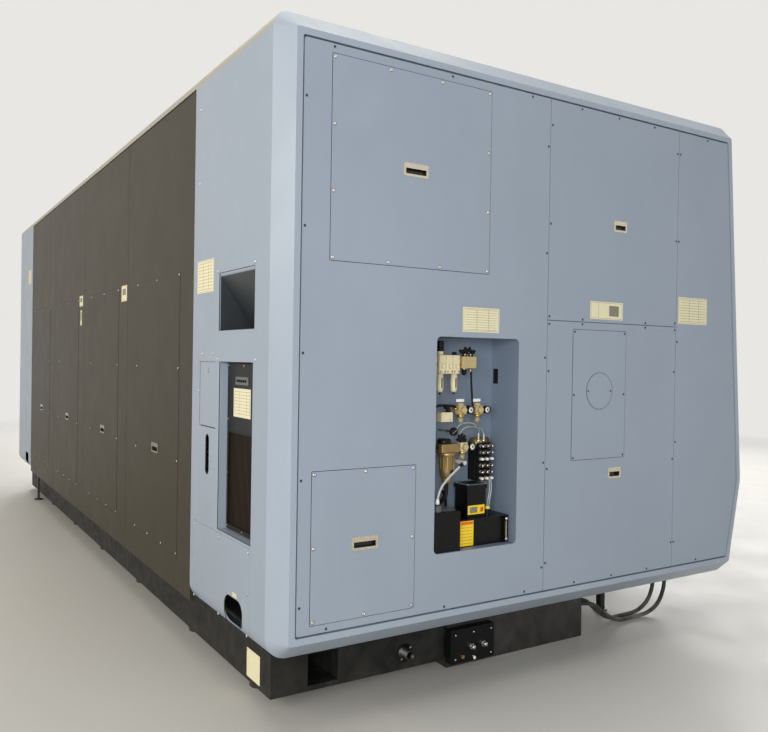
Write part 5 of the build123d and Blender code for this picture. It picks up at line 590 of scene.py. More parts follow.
def add_floor():
    """A pale floor that fades into the room's light."""
    bpy.ops.mesh.primitive_plane_add(size=120, location=(0, 0, 0))
    floor = bpy.context.object
    floor.name = "floor"
    made = Finish("floor_paint", tone(206, 203, 196), 0.55).mottle(0.6, 0.05, 5.0).gloss(2.0, 0.08)
    fade_out(made, 7.0, 15.0)
    floor.data.materials.append(made.material)


def add_room():
    """Plain light from all round, brighter where the camera, a mirror or glass shows it."""
    world = bpy.data.worlds.new("room")
    scene.world = world
    world.use_nodes = True
    tree = world.node_tree
    back = tree.nodes["Background"]
    back.inputs["Color"].default_value = tone(232, 234, 236)
    back.inputs["Strength"].default_value = 0.36
    shown = node(tree, "Background", {"Color": tone(232, 231, 228), "Strength": 1.0})["Background"]
    path = node(tree, "LightPath", {})
    seen = path["Is Camera Ray"]
    for kind in ("Is Glossy Ray", "Is Transmission Ray"):
        seen = node(tree, "Math", {0: seen, 1: path[kind]}, "MAXIMUM")["Value"]
    mix = node(tree, "MixShader", {"Fac": seen, 1: back.outputs["Background"], 2: shown})
    tree.links.new(mix["Shader"], tree.nodes["World Output"].inputs["Surface"])


def add_lamp(name, place, target, size, power, colour=(1.0, 1.0, 1.0)):
    """An oblong lamp that looks at a target."""
    data = bpy.data.lights.new(name, "AREA")
    data.shape = "RECTANGLE"
    data.size, data.size_y = size
    data.energy = power
    data.color = colour
    lamp = bpy.data.objects.new(name, data)
    scene.collection.objects.link(lamp)
    forward = (Vector(target) - Vector(place)).normalized()
    lamp.matrix_world = Matrix.Translation(place) @ forward.to_track_quat("-Z", "Y").to_matrix().to_4x4()


add_floor()
add_room()
add_lamp("key", (-11.0, 6.5, 2.6), (-3.9, 0.9, 1.0), (6.0, 3.0), 620.0, (0.99, 1.0, 1.0))
add_lamp("over", (0.0, 0.0, 9.0), (0.0, 0.0, 0.0), (14.0, 8.0), 430.0, (1.0, 0.97, 0.9))
add_lamp("side", (1.0, 12.0, 5.0), (0.0, 0.0, 1.8), (14.0, 4.0), 640.0, (1.0, 0.93, 0.80))
add_lamp("operator", (2.0, -12.0, 5.0), (0.0, 0.0, 1.5), (12.0, 4.0), 800.0)
add_lamp("far", (12.0, -3.0, 5.0), (3.0, 0.0, 1.5), (6.0, 4.0), 500.0)
add_lamp("inside", (-0.7, -1.0, 3.0), (-0.7, -0.5, 1.0), (2.4, 0.3), 16.0)


# Screws on the service end

END_X = -3946
PLATE_X = -3947.5
REAR_Y = 1693
REAR_PLATE_Y = 1694.5
COLUMN_Y = 1697
KNEE_Z = 930
UPPER_SLOPE, LOWER_SLOPE = 0.0728, 0.2016
UPPER_PLATE = ((1025, 2558), (902, 910))
LOWER_PLATE = ((1274.5, 832), (549, 676))
INSPECTION_PLATE = ((-229, 1491), (416, 710))
ROUND_COVER = (-229, 1511)
LARGE_SCREW = (8.2, 2.4)
SUNK_SCREW = (5.5, 2.8)
SEAM_POINTS = [(y, z) for y in (-90, -600) for z in (1876, 1902)]


def leaning_y(foot, z):
    """Y at a height on a face that leans in above and below the machine's knee."""
    return foot + UPPER_SLOPE * (z - KNEE_Z) if z > KNEE_Z else foot + LOWER_SLOPE * (KNEE_Z - z)


def panel_edge_points():
    """Places of the small dark screws along the edges of the flush panels."""
    rows = (580, 1135, 1690, 2242, 2803)
    front_rows = (600, 1200, 1800, 2400, 2920)
    ends = (469, 3042)
    found = [(1601, z) for z in rows]
    found += [(y, z) for y in (1467, 818, 300) for z in ends]
    found += [(182, z) for z in rows]
    found += [(y, z) for y in (156, -861) for z in (600, 1100, 1620, 1870, 1910, 2400, 2920)]
    found += [(y, z) for y in (-60, -352, -650) for z in ends]
    found += SEAM_POINTS
    found += [(-886, z) for z in front_rows]
    found += [(leaning_y(-1529, z) + 14, z) for z in front_rows]
    return found + [(-1100, 469), (-1140, 3042)]


EDGES = panel_edge_points()
COVER_POINTS = [(ROUND_COVER[0] + shift, ROUND_COVER[1]) for shift in (-88, 88)]
screws("upper_plate_screws", "left", PLATE_X, border(*UPPER_PLATE, 13, 4, 4), LARGE_SCREW, zinc)
screws("lower_plate_screws", "left", PLATE_X, border(*LOWER_PLATE, 13, 3, 3), LARGE_SCREW, zinc)
screws("inspection_plate_screws", "left", PLATE_X, border(*INSPECTION_PLATE, 12, 2, 3), (5.5, 2.2), dark_zinc)
screws("round_cover_screws", "left", -3949, COVER_POINTS, (5, 0.9), dark_zinc)
screws("end_panel_screws", "left", END_X, EDGES, SUNK_SCREW, dark_zinc, SUNK_HEAD)


# Bare plates where the machine has labels


def bare_label(name, side, plane, across, height, size, ruled=()):
    """A plate without words: a pale sheet with a thin frame and a few ruled fields."""
    piece = Piece(name, "machine", "bay_cream", paper, ink)
    at = on_plane(side, plane, across, height)
    wide, tall = size
    line, gap = 1.6, 6
    piece.box(at, (wide, tall, 0.8), 0, 0.3)
    marks = [(0, v, wide - 2 * gap, line) for v in (gap - tall / 2, tall / 2 - gap)]
    marks += [(u, 0, line, tall - 2 * gap) for u in (gap - wide / 2, wide / 2 - gap)]
    marks += [(u * wide, v * tall, part * wide, rise * tall) for u, v, part, rise in ruled]
    for u, v, part, rise in marks:
        piece.box(moved(at, u, v, 0.7), (part, rise, 0.3), 1, 0.1)
    return piece.done()


TABLE = [(0, v / 10, 0.86, 0.012) for v in range(-4, 5)] + [(u, 0, 0.008, 0.86) for u in (-0.12, 0.2)]
FIELD = [(0, 0.1, 0.6, 0.4)]
bare_label("label_over_bay", "left", END_X, 617, 1871, (232, 122), TABLE)
bare_label("label_middle", "left", END_X, -278, 1958, (260, 98),
           [(0.22, 0, 0.3, 0.6), (-0.25, 0, 0.006, 0.8)])
bare_label("label_front", "left", END_X, -1027, 1990, (272, 160), TABLE)
bare_label("label_rear_column", "rear", COLUMN_Y, -2966, 2092, (252, 172), TABLE)
bare_label("label_far_column", "rear", COLUMN_Y, 3085, 2565, (200, 165), TABLE)
bare_label("tag_rear_1", "rear", REAR_Y, -1262, 2107, (150, 112), FIELD)
bare_label("tag_rear_2", "rear", REAR_Y, 200, 2130, (140, 90), FIELD)
bare_label("tag_rear_3", "rear", REAR_Y, 200, 1985, (58, 130), [(0, 0.1, 0.5, 0.6)])
bare_label("tag_cable_hole", "rear", COLUMN_Y, -3437, 520, (52, 20))


# Screws on the rear side

PANEL_PITCH = 1414.75
REAR_MIDDLES = [-2777 + PANEL_PITCH * (index + 0.5) for index in range(4)]
SCREW_REACH = 443.5
CABLE_COVER = ((-3225, 565), (790, 430))
COLUMN_POINTS = (
    (-3634, 2108), (-3153, 2105), (-2931, 1683), (-3096, 1683), (-3166, 1657),
    (-3651, 1657), (-2885, 1483), (-2860, 2600), (-2860, 3000),
)
CABLE_COVER_POINTS = border(*CABLE_COVER, 22, 3, 2) + [(x, 565) for x in (-3598, -2852)]
FAR_COLUMN_POINTS = [(x, z) for x in (2915, 3700) for z in (600, 1150, 1700, 2250, 2450, 3000)]


def rear_plate_points():
    """Places of the screws round the four access plates of the rear side."""
    found = []
    for middle in REAR_MIDDLES:
        sides = (middle - SCREW_REACH, middle + SCREW_REACH)
        found += [(x, 2139) for x in (sides[0], middle, sides[1])]
        found += [(x, z) for x in sides for z in (1058, 1597)]
        found += [(x, 522) for x in between(*sides, 4)]
    return found


# These heads get wider dark rings of painted shadow.
screws("rear_plate_screws", "rear", REAR_PLATE_Y, rear_plate_points(), (5.6, 2.4), zinc, rim=2.1)
screws("rear_column_screws", "rear", COLUMN_Y, COLUMN_POINTS, LARGE_SCREW, zinc)
screws("cable_cover_screws", "rear", COLUMN_Y, CABLE_COVER_POINTS, (7.2, 2.4), zinc)
screws("far_column_screws", "rear", COLUMN_Y, FAR_COLUMN_POINTS, (6.6, 2.4), zinc)


def latch_face():
    """The slotted head of the service hatch's latch."""
    piece = Piece("latch_face", "latch", "ground_steel", chrome, black_plastic)
    at = rearward(-3020, 1696.5, 1595)
    piece.solid(at, ((8.5, -0.3), (8.5, 0.2), (6.5, 0.4)), 0, 16)
    piece.box(moved(at, 0, 0, 0.2), (10.5, 1.6, 0.3), 1, 0.1)
    return piece.done()


latch_face()


# The pneumatic bay

BACK_X = -3730
FITTING_X = -3850
REGULATOR_X = -3840
ROW_Z = 1648
ROW_TOP = 1695.5
ROW_FRONT = -3825.5
ROW_BOWLS = (708.7, 795.3)
VALVE_Y, VALVE_Z = 627, 1659
FILTER_X, FILTER_Y, FILTER_Z = -3845, 742, 1225
REGULATORS = ((655, 1417), (548, 1417), (642, 1230))
REGULATOR_RISE = 22.5
NEEDLES = (150, 118, 70)
MANIFOLD_Y, MANIFOLD_Z = (424, 520), (1040, 1242)
TANK_X = -3893.2
BAY_SLOT = (-3762, 361.5, 1587)


def knurled(piece, at, radius, height, index, teeth):
    """A cap with a ribbed rim."""
    body = ((radius * 0.95, 0), (radius * 0.95, height * 0.9), (radius * 0.82, height))
    piece.solid(at, body, index, 24)
    for tooth in range(teeth):
        place = around(at, radius * 0.95, 2 * math.pi * tooth / teeth)
        piece.box(place, (radius * 0.1, radius * 0.16, height * 0.86), index, 0.4)


def gauge(piece, at, radius, needle, case, dial, marks):
    """A pressure gauge facing out of the frame: case, dial, ring of marks, needle and hub."""
    rim = ((0.8, -22), (1, -16), (1, 1), (0.93, 3), (0.8, 2), (0.78, -2))
    piece.solid(at, [(share * radius, height) for share, height in rim], case, 28)
    piece.solid(at, ((radius * 0.77, -2.2), (radius * 0.77, -1.2)), dial, 28)
    for mark in range(11):
        place = around(at, radius * 0.62, math.radians(225 - 27 * mark), -1.1)
        piece.box(place, (radius * 0.14, radius * 0.035, 0.3), marks, 0.05)
    place = around(at, radius * 0.24, math.radians(needle), -0.8)
    piece.box(place, (radius * 0.66, radius * 0.06, 0.4), marks, 0.1)
    piece.solid(at, ((radius * 0.24, -1.2), (radius * 0.2, 0.6)), marks, 16)


def service_row():
    """The filter-regulator row: three blocks, a knob and bowl guards."""
    piece = Piece("service_row", "machine", "bay_metal", cream, black_plastic, smoked, brass, grey_plastic)
    pitch = 130 / 3
    for index in range(3):
        at = leftward(ROW_FRONT, 687 + (index + 0.5) * pitch, ROW_Z)
        piece.box(at, (pitch - 3, 94, 48), 0, 4)
        piece.box(moved(at, 0, 30, 47.5), (pitch - 14, 18, 1.5), 0, 1)
        ring = ((13.5, 48), (13, 50.5), (10.5, 50.5), (10, 49))
        piece.solid(moved(at, 0, -10, 0), ring, 0, 24)
        for u in (-13, 13):
            piece.box(moved(at, u, -36, 47.5), (7, 8, 2), 4, 0.8)
    knob = upward(FITTING_X, ROW_BOWLS[1], ROW_TOP)
    piece.solid(knob, ((15.5, 0), (15.5, 16), (12, 18)), 0, 24)
    knurled(piece, moved(knob, 0, 0, 18), 17, 52, 1, 20)
    piece.solid(upward(FITTING_X, ROW_BOWLS[0], ROW_TOP), ((12, 0), (12, 12), (9, 16)), 1, 24)
    for y in ROW_BOWLS:
        low = downward(FITTING_X, y, 1600.5)
        piece.solid(low, ((16.8, 0), (16.8, 74), (14, 86), (8, 92)), 0, 28)
        piece.box(leftward(-3865.5, y, 1556), (8.5, 52, 1.6), 2, 3)
        piece.box(leftward(-3866.4, y, 1556), (4.5, 46, 1.2), 1, 1.5)
        piece.solid(moved(low, 0, 0, 90), ((6, 0), (5, 12)), 1, 16)
    for y in (680, 822):
        piece.nut(frontward(FITTING_X, y, ROW_Z), 14, 10, 3)
    piece.rod(frontward(FITTING_X, 680, ROW_Z), 9.5, 28, 3, 20)
    piece.box(leftward(BACK_X, 752, ROW_Z), (150, 28, 95), 4, 2)
    return piece.done()


def shut_off():
    """The ribbed shut-off valve with its two wing knobs and small bowl."""
    piece = Piece("shut_off_valve", "machine", "bay_metal", beige, black_plastic, brass, chrome)
    piece.box(leftward(ROW_FRONT, VALVE_Y, VALVE_Z), (88, 60, 48), 0, 3)
    for rib in range(-3, 4):
        piece.box(leftward(-3873.5, VALVE_Y + rib * 11.5, 1655), (6.5, 48, 3.5), 0, 1.2)
    for y, lean in ((603.6, 26), (648.6, -24)):
        top = upward(FITTING_X, y, 1689)
        piece.solid(top, ((11, 0), (11, 10), (7, 14), (7, 24)), 1, 20)
        wing = moved(top, 0, 0, 20) @ Matrix.Rotation(math.radians(lean), 4, "X")
        piece.box(wing, (12, 40, 16), 1, 3)
        for v in (-17, 17):
            piece.box(moved(wing, 0, v, 6), (10, 13, 17), 1, 3)
    knurled(piece, upward(-3846, 628, 1700), 10, 30, 1, 12)
    for y in (612, 648):
        piece.solid(upward(-3858, y, 1689), ((5, 0), (5, 12), (3, 16)), 2, 12)
    low = downward(FITTING_X, 645, 1630)
    bowl = ((14, 0), (14, 10), (12.5, 14), (12.5, 24), (9, 34), (0, 37))
    piece.solid(low, bowl, 1, 24)
    piece.rod(low, 15, 6, 3, 24)
    piece.solid(downward(FITTING_X, 606, 1630), ((6, 0), (6, 18), (3, 20)), 2, 14)
    piece.nut(frontward(FITTING_X, 583, VALVE_Z), 12, 10, 2)
    piece.box(leftward(BACK_X, VALVE_Y, 1650), (50, 28, 96), 3, 2)
    return piece.done()


def line_filter():
    """The bronze line filter, its black cap and drain."""
    piece = Piece("line_filter", "machine", "bay_metal", bronze, black_plastic, cream)
    x, y, z = FILTER_X, FILTER_Y, FILTER_Z
    piece.box(leftward(-3810, y, z + 3), (114, 48, 70), 0, 8)
    for nut_y, cheek_y in ((y - 48.5, y - 38), (y + 57.5, y + 38)):
        piece.nut(frontward(x, nut_y, z + 3), 23, 9, 0)
        piece.box(leftward(-3879.5, cheek_y, z + 3), (16, 34, 2), 0, 2)
    cap = ((34, 0), (35, 6), (35, 18), (30, 24), (0, 26))
    piece.solid(upward(x, y + 18, 1251), cap, 1, 28)
    low = downward(x, y, 1206)
    bowl = ((43, 0), (44.5, 4), (44.5, 14), (40.5, 18), (38.5, 90), (34, 118), (26, 128), (0, 131))
    piece.solid(low, bowl, 0, 32)
    for rib in range(12):
        piece.box(around(low, 38.5, 2 * math.pi * rib / 12, 20), (5, 6, 62), 0, 1.5)
    piece.solid(moved(low, 0, 0, 122), ((24, 0), (24, 22), (16, 34), (0, 36)), 0, 24)
    piece.solid(leftward(-3876, y - 6, 1112), ((12, 0), (12, 6), (8, 9)), 1, 20)
    drain = curved((x, y, 1052), (x, y, 1020), (x + 4, y + 4, 985),
                   (x + 20, y + 18, 955), (x + 35, y + 30, 932))
    piece.pipe(drain, 11, 1, 14)
    piece.box(leftward(BACK_X, y, z), (48, 34, 82), 2, 2)
    return piece.done()


def junction():
    """The distribution block with its black plug and elbow."""
    piece = Piece("junction_block", "machine", "bay_metal", cream, black_plastic, brass)
    piece.box(leftward(-3822, 762, 1385), (70, 48, 50), 0, 3)
    piece.box(leftward(-3871.5, 772, 1385), (40, 34, 2.5), 0, 1)
    for y in (744, 780):
        piece.rod(leftward(-3871.5, y, 1372), 3.5, 2, 2, 10)
    top = upward(FITTING_X, 742, 1408.5)
    plug = ((13, 0), (13, 10), (10, 13), (10, 26), (7, 30))
    piece.solid(top, plug, 1, 22)
    piece.box(moved(top, 0, 8, 16), (18, 30, 14), 1, 4)
    piece.box(leftward(BACK_X, 762, 1385), (30, 24, 94), 0, 1)
    return piece.done()


def regulators():
    """Three small pressure regulators with their gauges and bowls."""
    piece = Piece("regulator_bodies", "machine", "bay_cream",
                  beige, black_plastic, smoked, brass, white_plastic, cream)
    bodies = (0, 0, 5)
    collars = (0, 0, 1)
    for number, (y, z) in enumerate(REGULATORS):
        at = leftward(-3818, y, z)
        piece.box(at, (42, 46, 44), bodies[number], 5)
        piece.solid(at, ((19.5, 43.5), (19.5, 44.8), (16.5, 44.8), (16.5, 43.8)), 3, 28)
        top = upward(REGULATOR_X, y, z + REGULATOR_RISE)
        piece.solid(top, ((16.5, 0), (16.5, 8), (13, 12)), collars[number], 24)
        low = downward(REGULATOR_X, y, z - REGULATOR_RISE)
        piece.solid(low, ((19.5, 0), (19.5, 10), (17, 13)), 3, 26)
        piece.solid(low, ((14.8, 12), (14.8, 36), (10, 43), (0, 44.5)), 2, 26)
        piece.solid(low, ((4, 43), (3, 52)), 3, 12)
        piece.rod(frontward(REGULATOR_X, y - 21, z), 6.8, 20, 3, 16)
        piece.nut(frontward(REGULATOR_X, y - 22, z), 10.5, 7, 3)
        piece.rod(frontward(REGULATOR_X, y + 40, z + 8), 7.5, 20, 3, 16)
        gauge(piece, leftward(-3866, y - 48, z), 21, NEEDLES[number], 1, 4, 1)
        piece.rod(rightward(-3846, y - 48, z), 8.5, 14, 3, 16)
        piece.box(leftward(BACK_X, y, z), (24, 20, 90), 0, 1)
    for y in (662, 556):
        piece.box(leftward(-3843, y, 1465.5), (50, 15, 1.2), 4, 0.4)
    return piece.done()


def manifold():
    """The black valve manifold: slices with rows of push-in fittings, a bronze cylinder and two stubs."""
    piece = Piece("manifold_stack", "machine", "manifold_black", black_plastic, chrome, bronze, white_plastic)
    low, high = MANIFOLD_Z
    left, right = MANIFOLD_Y
    piece.box(leftward(BACK_X, 472, (low + high) / 2), (94, high - low - 4, 60), 0, 4)
    slices = 6
    pitch = (high - low) / slices
    fitting = ((7.8, 7), (7.8, 24), (6.6, 26), (6.6, 29), (4, 30.5))
    for number in range(slices):
        z = low + (number + 0.5) * pitch
        piece.box(leftward(-3790, 472, z), (90, pitch - 3.5, 24), 0, 3)
        for across in range(3):
            at = leftward(-3814, left + (across + 0.5) * (right - left) / 3, z)
            piece.nut(at, 9.8, 8, 1)
            piece.solid(at, fitting, 1 if number % 3 else 3, 18)
    piece.rod(rearward(-3770, left + 0.5, high - 6), 30, 94.5, 2, 28)
    for y, height in ((506, 46), (470, 40)):
        stub = ((10.5, 0), (10.5, 10), (8.5, 12), (8.5, height), (6, height + 4))
        piece.solid(upward(-3800, y, high + 2), stub, 1, 20)
    return piece.done()


def lube_station():
    """Plates, sight glass, cap and lid of the lubrication unit, over its plain black tank."""
    piece = Piece("lube_fittings", "machine", "tank_black",
                  black_plastic, yellow, orange, chrome, lime, smoked, grey_plastic, ink)
    front = leftward(TANK_X, 644.5, 797.5)
    piece.box(front, (84, 126, 1), 1, 0.5)
    piece.box(moved(front, 0, 52, 0.9), (78, 16, 0.4), 2, 0.2)
    for row in range(6):
        piece.box(moved(front, 0, 30 - row * 16, 0.9), (70, 2, 0.3), 7, 0.1)
    plate = leftward(-3862.5, 562, 906)
    piece.box(plate, (108, 46, 1.2), 1, 0.5)
    piece.rod(moved(plate, 34, 0, 1), 13, 0.5, 2, 18)
    piece.box(moved(plate, -18, 0, 1), (50, 30, 0.4), 7, 0.2)
    piece.box(leftward(-3912.5, 402, 791.5), (8, 100, 1.5), 5, 0.8)
    for z in (749, 854):
        piece.solid(leftward(-3914.2, 402, z), ((8.5, 0), (8.5, 3), (6, 4.5)), 3, 20)
    knurled(piece, upward(-3848, 478, 901.5), 14.5, 14, 4, 14)
    lid = upward(-3811, 560, 1033.5)
    piece.box(lid, (112, 130, 3), 6, 2)
    piece.box(moved(lid, 0, 0, 2.5), (70, 80, 4), 0, 3)
    for u in (-47, 47):
        for v in (-56, 56):
            piece.solid(moved(lid, u, v, 2.8), ((4, 0), (3.6, 2), (0, 2.4)), 3, 12)
    piece.box(upward(-3828, 794, 924.7), (150, 140, 3.5), 6, 2)
    thread = ((21.5, 0), (22.8, 1.2), (22.8, 2.8), (21.5, 4))
    for rib in range(7):
        piece.solid(upward(-3905, 839, 927.5 + 4.5 * rib), thread, 6, 26)
    for y in (384, 696):
        for z in (745, 852):
            piece.solid(leftward(TANK_X, y, z), ((5, 0), (4.5, 2.5), (0, 3)), 0, 12)
    return piece.done()


# Radius, material, sides and points of each tube in the bay
TUBES = (
    (6.5, 0, 10, (-3835, 822, 1400), (-3838, 818, 1425), (-3842, 800, 1440), (-3846, 750, 1441),
     (-3845, 700, 1437), (-3841, 690, 1427)),
    (6.5, 0, 10, (-3835, 823, 1400), (-3815, 829, 1340), (-3790, 834, 1280), (-3745, 836, 1240),
     (-3731, 836, 1230)),
    (6, 0, 10, (-3842, 631, 1420), (-3844, 618, 1436), (-3842, 602, 1430), (-3840, 590, 1424)),
    (5, 0, 10, (-3850, 600, 1612), (-3846, 594, 1560), (-3842, 586, 1500), (-3841, 580, 1440),
     (-3840, 574, 1422)),
    (3.5, 1, 10, (-3840, 700, 1300), (-3846, 668, 1338), (-3845, 620, 1352), (-3838, 560, 1340),
     (-3815, 512, 1305), (-3802, 506, 1288)),
    (3.5, 1, 10, (-3838, 660, 1295), (-3842, 630, 1325), (-3836, 580, 1330), (-3815, 500, 1318),
     (-3800, 472, 1284)),
    (3.5, 1, 10, (-3846, 478, 912), (-3850, 474, 950), (-3846, 462, 1000), (-3838, 458, 1034),
     (-3832, 456, 1058)),
    (3.5, 1, 10, (-3846, 466, 912), (-3850, 462, 950), (-3846, 450, 1000), (-3838, 446, 1034),
     (-3832, 444, 1058)),
    (8, 0, 12, (-3845, 772, 1232), (-3846, 800, 1236), (-3838, 826, 1222), (-3800, 842, 1200),
     (-3745, 846, 1190), (-3731, 846, 1188)),
    (8, 2, 12, (-3842, 700, 1232), (-3845, 685, 1236), (-3843, 672, 1234), (-3841, 664, 1232)),
    (12, 0, 14, (-3815, 770, 935), (-3820, 800, 960), (-3800, 835, 975), (-3765, 850, 950),
     (-3745, 852, 928)),
    (7, 0, 12, (-3790, 700, 912), (-3770, 690, 960), (-3745, 685, 985), (-3731, 684, 990)),
)


def bay_tubes():
    """Black and clear tubes between the fittings, and the round selector and plugs beside them."""
    piece = Piece("bay_tubes", "machine", "manifold_black", black_plastic, clear_tube, chrome)
    for radius, index, steps, *points in TUBES:
        piece.pipe(curved(*points), radius, index, steps)
    selector = leftward(FITTING_X, 709, 1310)
    rim = ((19, -4), (21.5, 0), (21.5, 12), (19, 15))
    piece.solid(selector, rim, 0, 28)
    piece.box(around(selector, 0, math.radians(35), 14.8), (32, 2.2, 1.2), 2, 0.4)
    piece.rod(rightward(FITTING_X, 709, 1310), 6, 118, 2, 16)
    plug = ((8.5, 0), (8.5, 20), (6.5, 24), (6.5, 34), (0, 36))
    for y, z in ((664, 1257), (645, 1262), (628, 1254)):
        piece.solid(upward(-3842, y, z), plug, 0, 18)
    piece.box(leftward(-3833, 650, 1266.5), (54, 10, 20), 0, 2)
    return piece.done()


def bay_vent():
    """A black louvre behind the slot in the bay's side wall."""
    piece = Piece("bay_vent", "machine", "manifold_black", black_plastic)
    x, y, z = BAY_SLOT
    piece.box(rearward(x, y - 10, z), (46, 84, 9.5), 0, 1)
    for height in between(z - 33, z + 33, 6):
        piece.box(rearward(x, y - 0.8, height), (36, 4.5, 1.2), 0, 0.4)
    return piece.done()


def hose_ends():
    """The sleeves on the clear hose's upper end and on its lower end, over the tank's filler."""
    piece = Piece("bay_hose_ends", "machine", "hose_clear", black_plastic, white_plastic)
    lean = Vector((0, 0.8, -0.6)).to_track_quat("Z", "Y").to_matrix().to_4x4()
    upper = Matrix.Translation((-3905, 680, 1158)) @ lean
    sleeve = ((8.8, -12), (9.2, 0), (8.8, 30), (7.2, 32))
    piece.solid(upper, sleeve, 0, 18)
    cone = ((11, 0), (11.5, 4), (8.5, 22), (7.5, 26))
    piece.solid(upward(-3905, 839, 963), cone, 1, 20)
    return piece.done()


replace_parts(service_row(), "air_service_unit")
shut_off()
line_filter()
junction()
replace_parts(regulators(), "pressure_regulators")
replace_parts(manifold(), "valve_manifold")
lube_station()
bay_tubes()
bay_vent()
hose_ends()


# The operator's side

UPPER_LEAN, LOWER_LEAN = math.atan(0.166 / 2.280), math.atan(0.124 / 0.615)
FRONT_Y = -1698.84
WINDOW_MIDDLE = (-697.5, 1830)
DOOR_FACE = -25
GRIP = (-1505, -1676)


def front_skin(x, z, lift=0):
    """A frame on the front skin, which leans in above and below the knee."""
    lean = Matrix.Rotation(-UPPER_LEAN if z > KNEE_Z else LOWER_LEAN, 4, "X")
    at = Matrix.Translation((x, leaning_y(FRONT_Y, z), z)) @ lean @ frontward(0, 0, 0)
    return moved(at, 0, 0, lift)


def front_screws(name, places):
    """Screw heads on the sloping front skin."""
    piece = Piece(name, "machine", "ground_steel", zinc)
    for x, z in places:
        piece.screw(front_skin(x, z), (6.8, 2.6), 0)
    return piece.done()


def front_wall_points():
    """Places of the screws up and along the front walls, and along the panel over them."""
    found = [(x, z) for x in (-3765, -1695, 2195, 3765) for z in (1020, 1420, 1820, 2220, 2600)]
    found += [(x, z) for x in between(-3600, -1900, 4) for z in (1005, 2615)]
    found += [(x, z) for x in between(2420, 3600, 4) for z in (1005, 2615)]
    return found + [(x, z) for x in between(-3765, 3765, 13) for z in (2700, 3070)]


def window_trim():
    """The black gasket round the door's window, and the screws of its clamping frame."""
    piece = Piece("window_gasket", "door", "cable_rubber", rubber, zinc)
    at = front_skin(*WINDOW_MIDDLE, DOOR_FACE)
    piece.frame(at, (1096, 896), 58, 24, 5.5, 0)
    piece.frame(moved(at, 0, 0, -3), (1062, 862), 46, 12, 4, 0)
    for u, v in border((0, 0), (1160, 960), 12, 7, 5):
        piece.screw(moved(at, u, v, 0), (6, 2.4), 1)
    return piece.done()


def door_trim():
    """Rubber along the door's closing edges, and the collars and ridges of its grip."""
    piece = Piece("door_trim", "door", "cable_rubber", rubber, zinc, grey_plastic)
    for x in (-1637.5, 242.5):
        piece.box(front_skin(x, 1805, DOOR_FACE), (10, 1655, 4), 0, 1.5)
    collar = ((14.2, -9), (16.5, -9), (17.2, -6), (17.2, 6), (16.5, 9), (14.2, 9))
    for z in (1378, 1742):
        piece.turned(upward(*GRIP, z), collar, 1, 24)
    ridge = ((13.9, -4), (15, -3), (15.3, 0), (15, 3), (13.9, 4))
    for row in range(9):
        piece.turned(upward(*GRIP, 1440 + row * 30), ridge, 2, 24)
    return piece.done()


front_screws("front_wall_screws", front_wall_points())
front_screws("toe_screws", [(x, z) for x in between(-3765, 3765, 13) for z in (470, 770)])
window_trim()
door_trim()


# The far end, with the same screws but without the seam

FAR_X = 3946
FAR_EDGES = [point for point in EDGES if point not in SEAM_POINTS]
screws("far_end_screws", "right", FAR_X, FAR_EDGES, SUNK_SCREW, dark_zinc, SUNK_HEAD)


# The cooler's plates and the edges of the rear side's openings and plates

COOLER_Y = 1653
COOLER_X = -3408.5


def cooler_plates():
    """A grey connector plate and a ruled label above the cooler's grille, with their screws."""
    piece = Piece("cooler_plates", "machine", "bay_cream", paper, ink, grey_plastic, zinc, black_plastic)
    label = rearward(-3392, COOLER_Y, 1442)
    piece.box(label, (216, 142, 1), 0, 0.4)
    for row in range(8):
        piece.box(moved(label, 0, 55 - row * 15.5, 0.9), (196, 1.6, 0.3), 1, 0.1)
    for u in (-98, -35, 60, 98):
        piece.box(moved(label, u, 0, 0.9), (1.6, 110, 0.3), 1, 0.1)
    plate = rearward(-3390, COOLER_Y, 1550.5)
    piece.box(plate, (160, 40, 3), 2, 1)
    socket = ((6.8, 0), (6.8, 4), (5.2, 5), (5.2, 2))
    for step in range(-2, 3):
        piece.solid(moved(plate, step * 26, 0, 2.8), socket, 4, 18)
    piece.frame(rearward(COOLER_X, COOLER_Y, 1056), (384, 480), 6, 8, 3, 4)
    for x, z in border((COOLER_X, 1219), (415, 832), 10, 3, 4):
        piece.screw(rearward(x, COOLER_Y, z), (4.5, 2), 3)
    return piece.done()


def opening_trims():
    """Thin black edging round the column's recesses, the cable hole and the slot."""
    piece = Piece("opening_trims", "machine", "cable_rubber", rubber)
    for x, z, size, corner, width, height in (
        (-3406, 1946, (461, 295), 4, 2.5, 2.8),
        (COOLER_X, 1219, (434, 851), 4, 2.5, 2.8),
        (-3421, 436, (236, 136), 62, 3, 2.8),
        (-3028, 1156, (56, 214), 28, 6, 3),
    ):
        piece.frame(rearward(x, REAR_PLATE_Y, z), size, corner, width, height, 0)
    return piece.done()


def plate_shadow_lines():
    """Dark lines round the screwed plates, and round the round cover: painted shadow in the gaps at their
    edges.
    """
    piece = Piece("plate_shadow_lines", "machine", "cable_rubber", rubber)
    for (y, z), (width, height) in (UPPER_PLATE, LOWER_PLATE, INSPECTION_PLATE):
        # Painted shadow lines for the gaps round the plates.
        piece.frame(leftward(END_X, y, z), (width + 5, height + 5), 5, 3, 1, 0)
    piece.washer(leftward(PLATE_X, *ROUND_COVER), 100, 102.5, 0, 1.2, 0, 64)
    for middle in REAR_MIDDLES:
        piece.frame(rearward(middle, REAR_Y, 1330), (926, 1653), 6, 7, 1.2, 0)
    return piece.done()


cooler_plates()
opening_trims()
plate_shadow_lines()


# Under the service end

BED_END_X = -3596.5
DRAIN_BOX_X = BED_END_X - 59.5
BED_REAR_FACE = 1573.5
BED_STEP_X = -2696


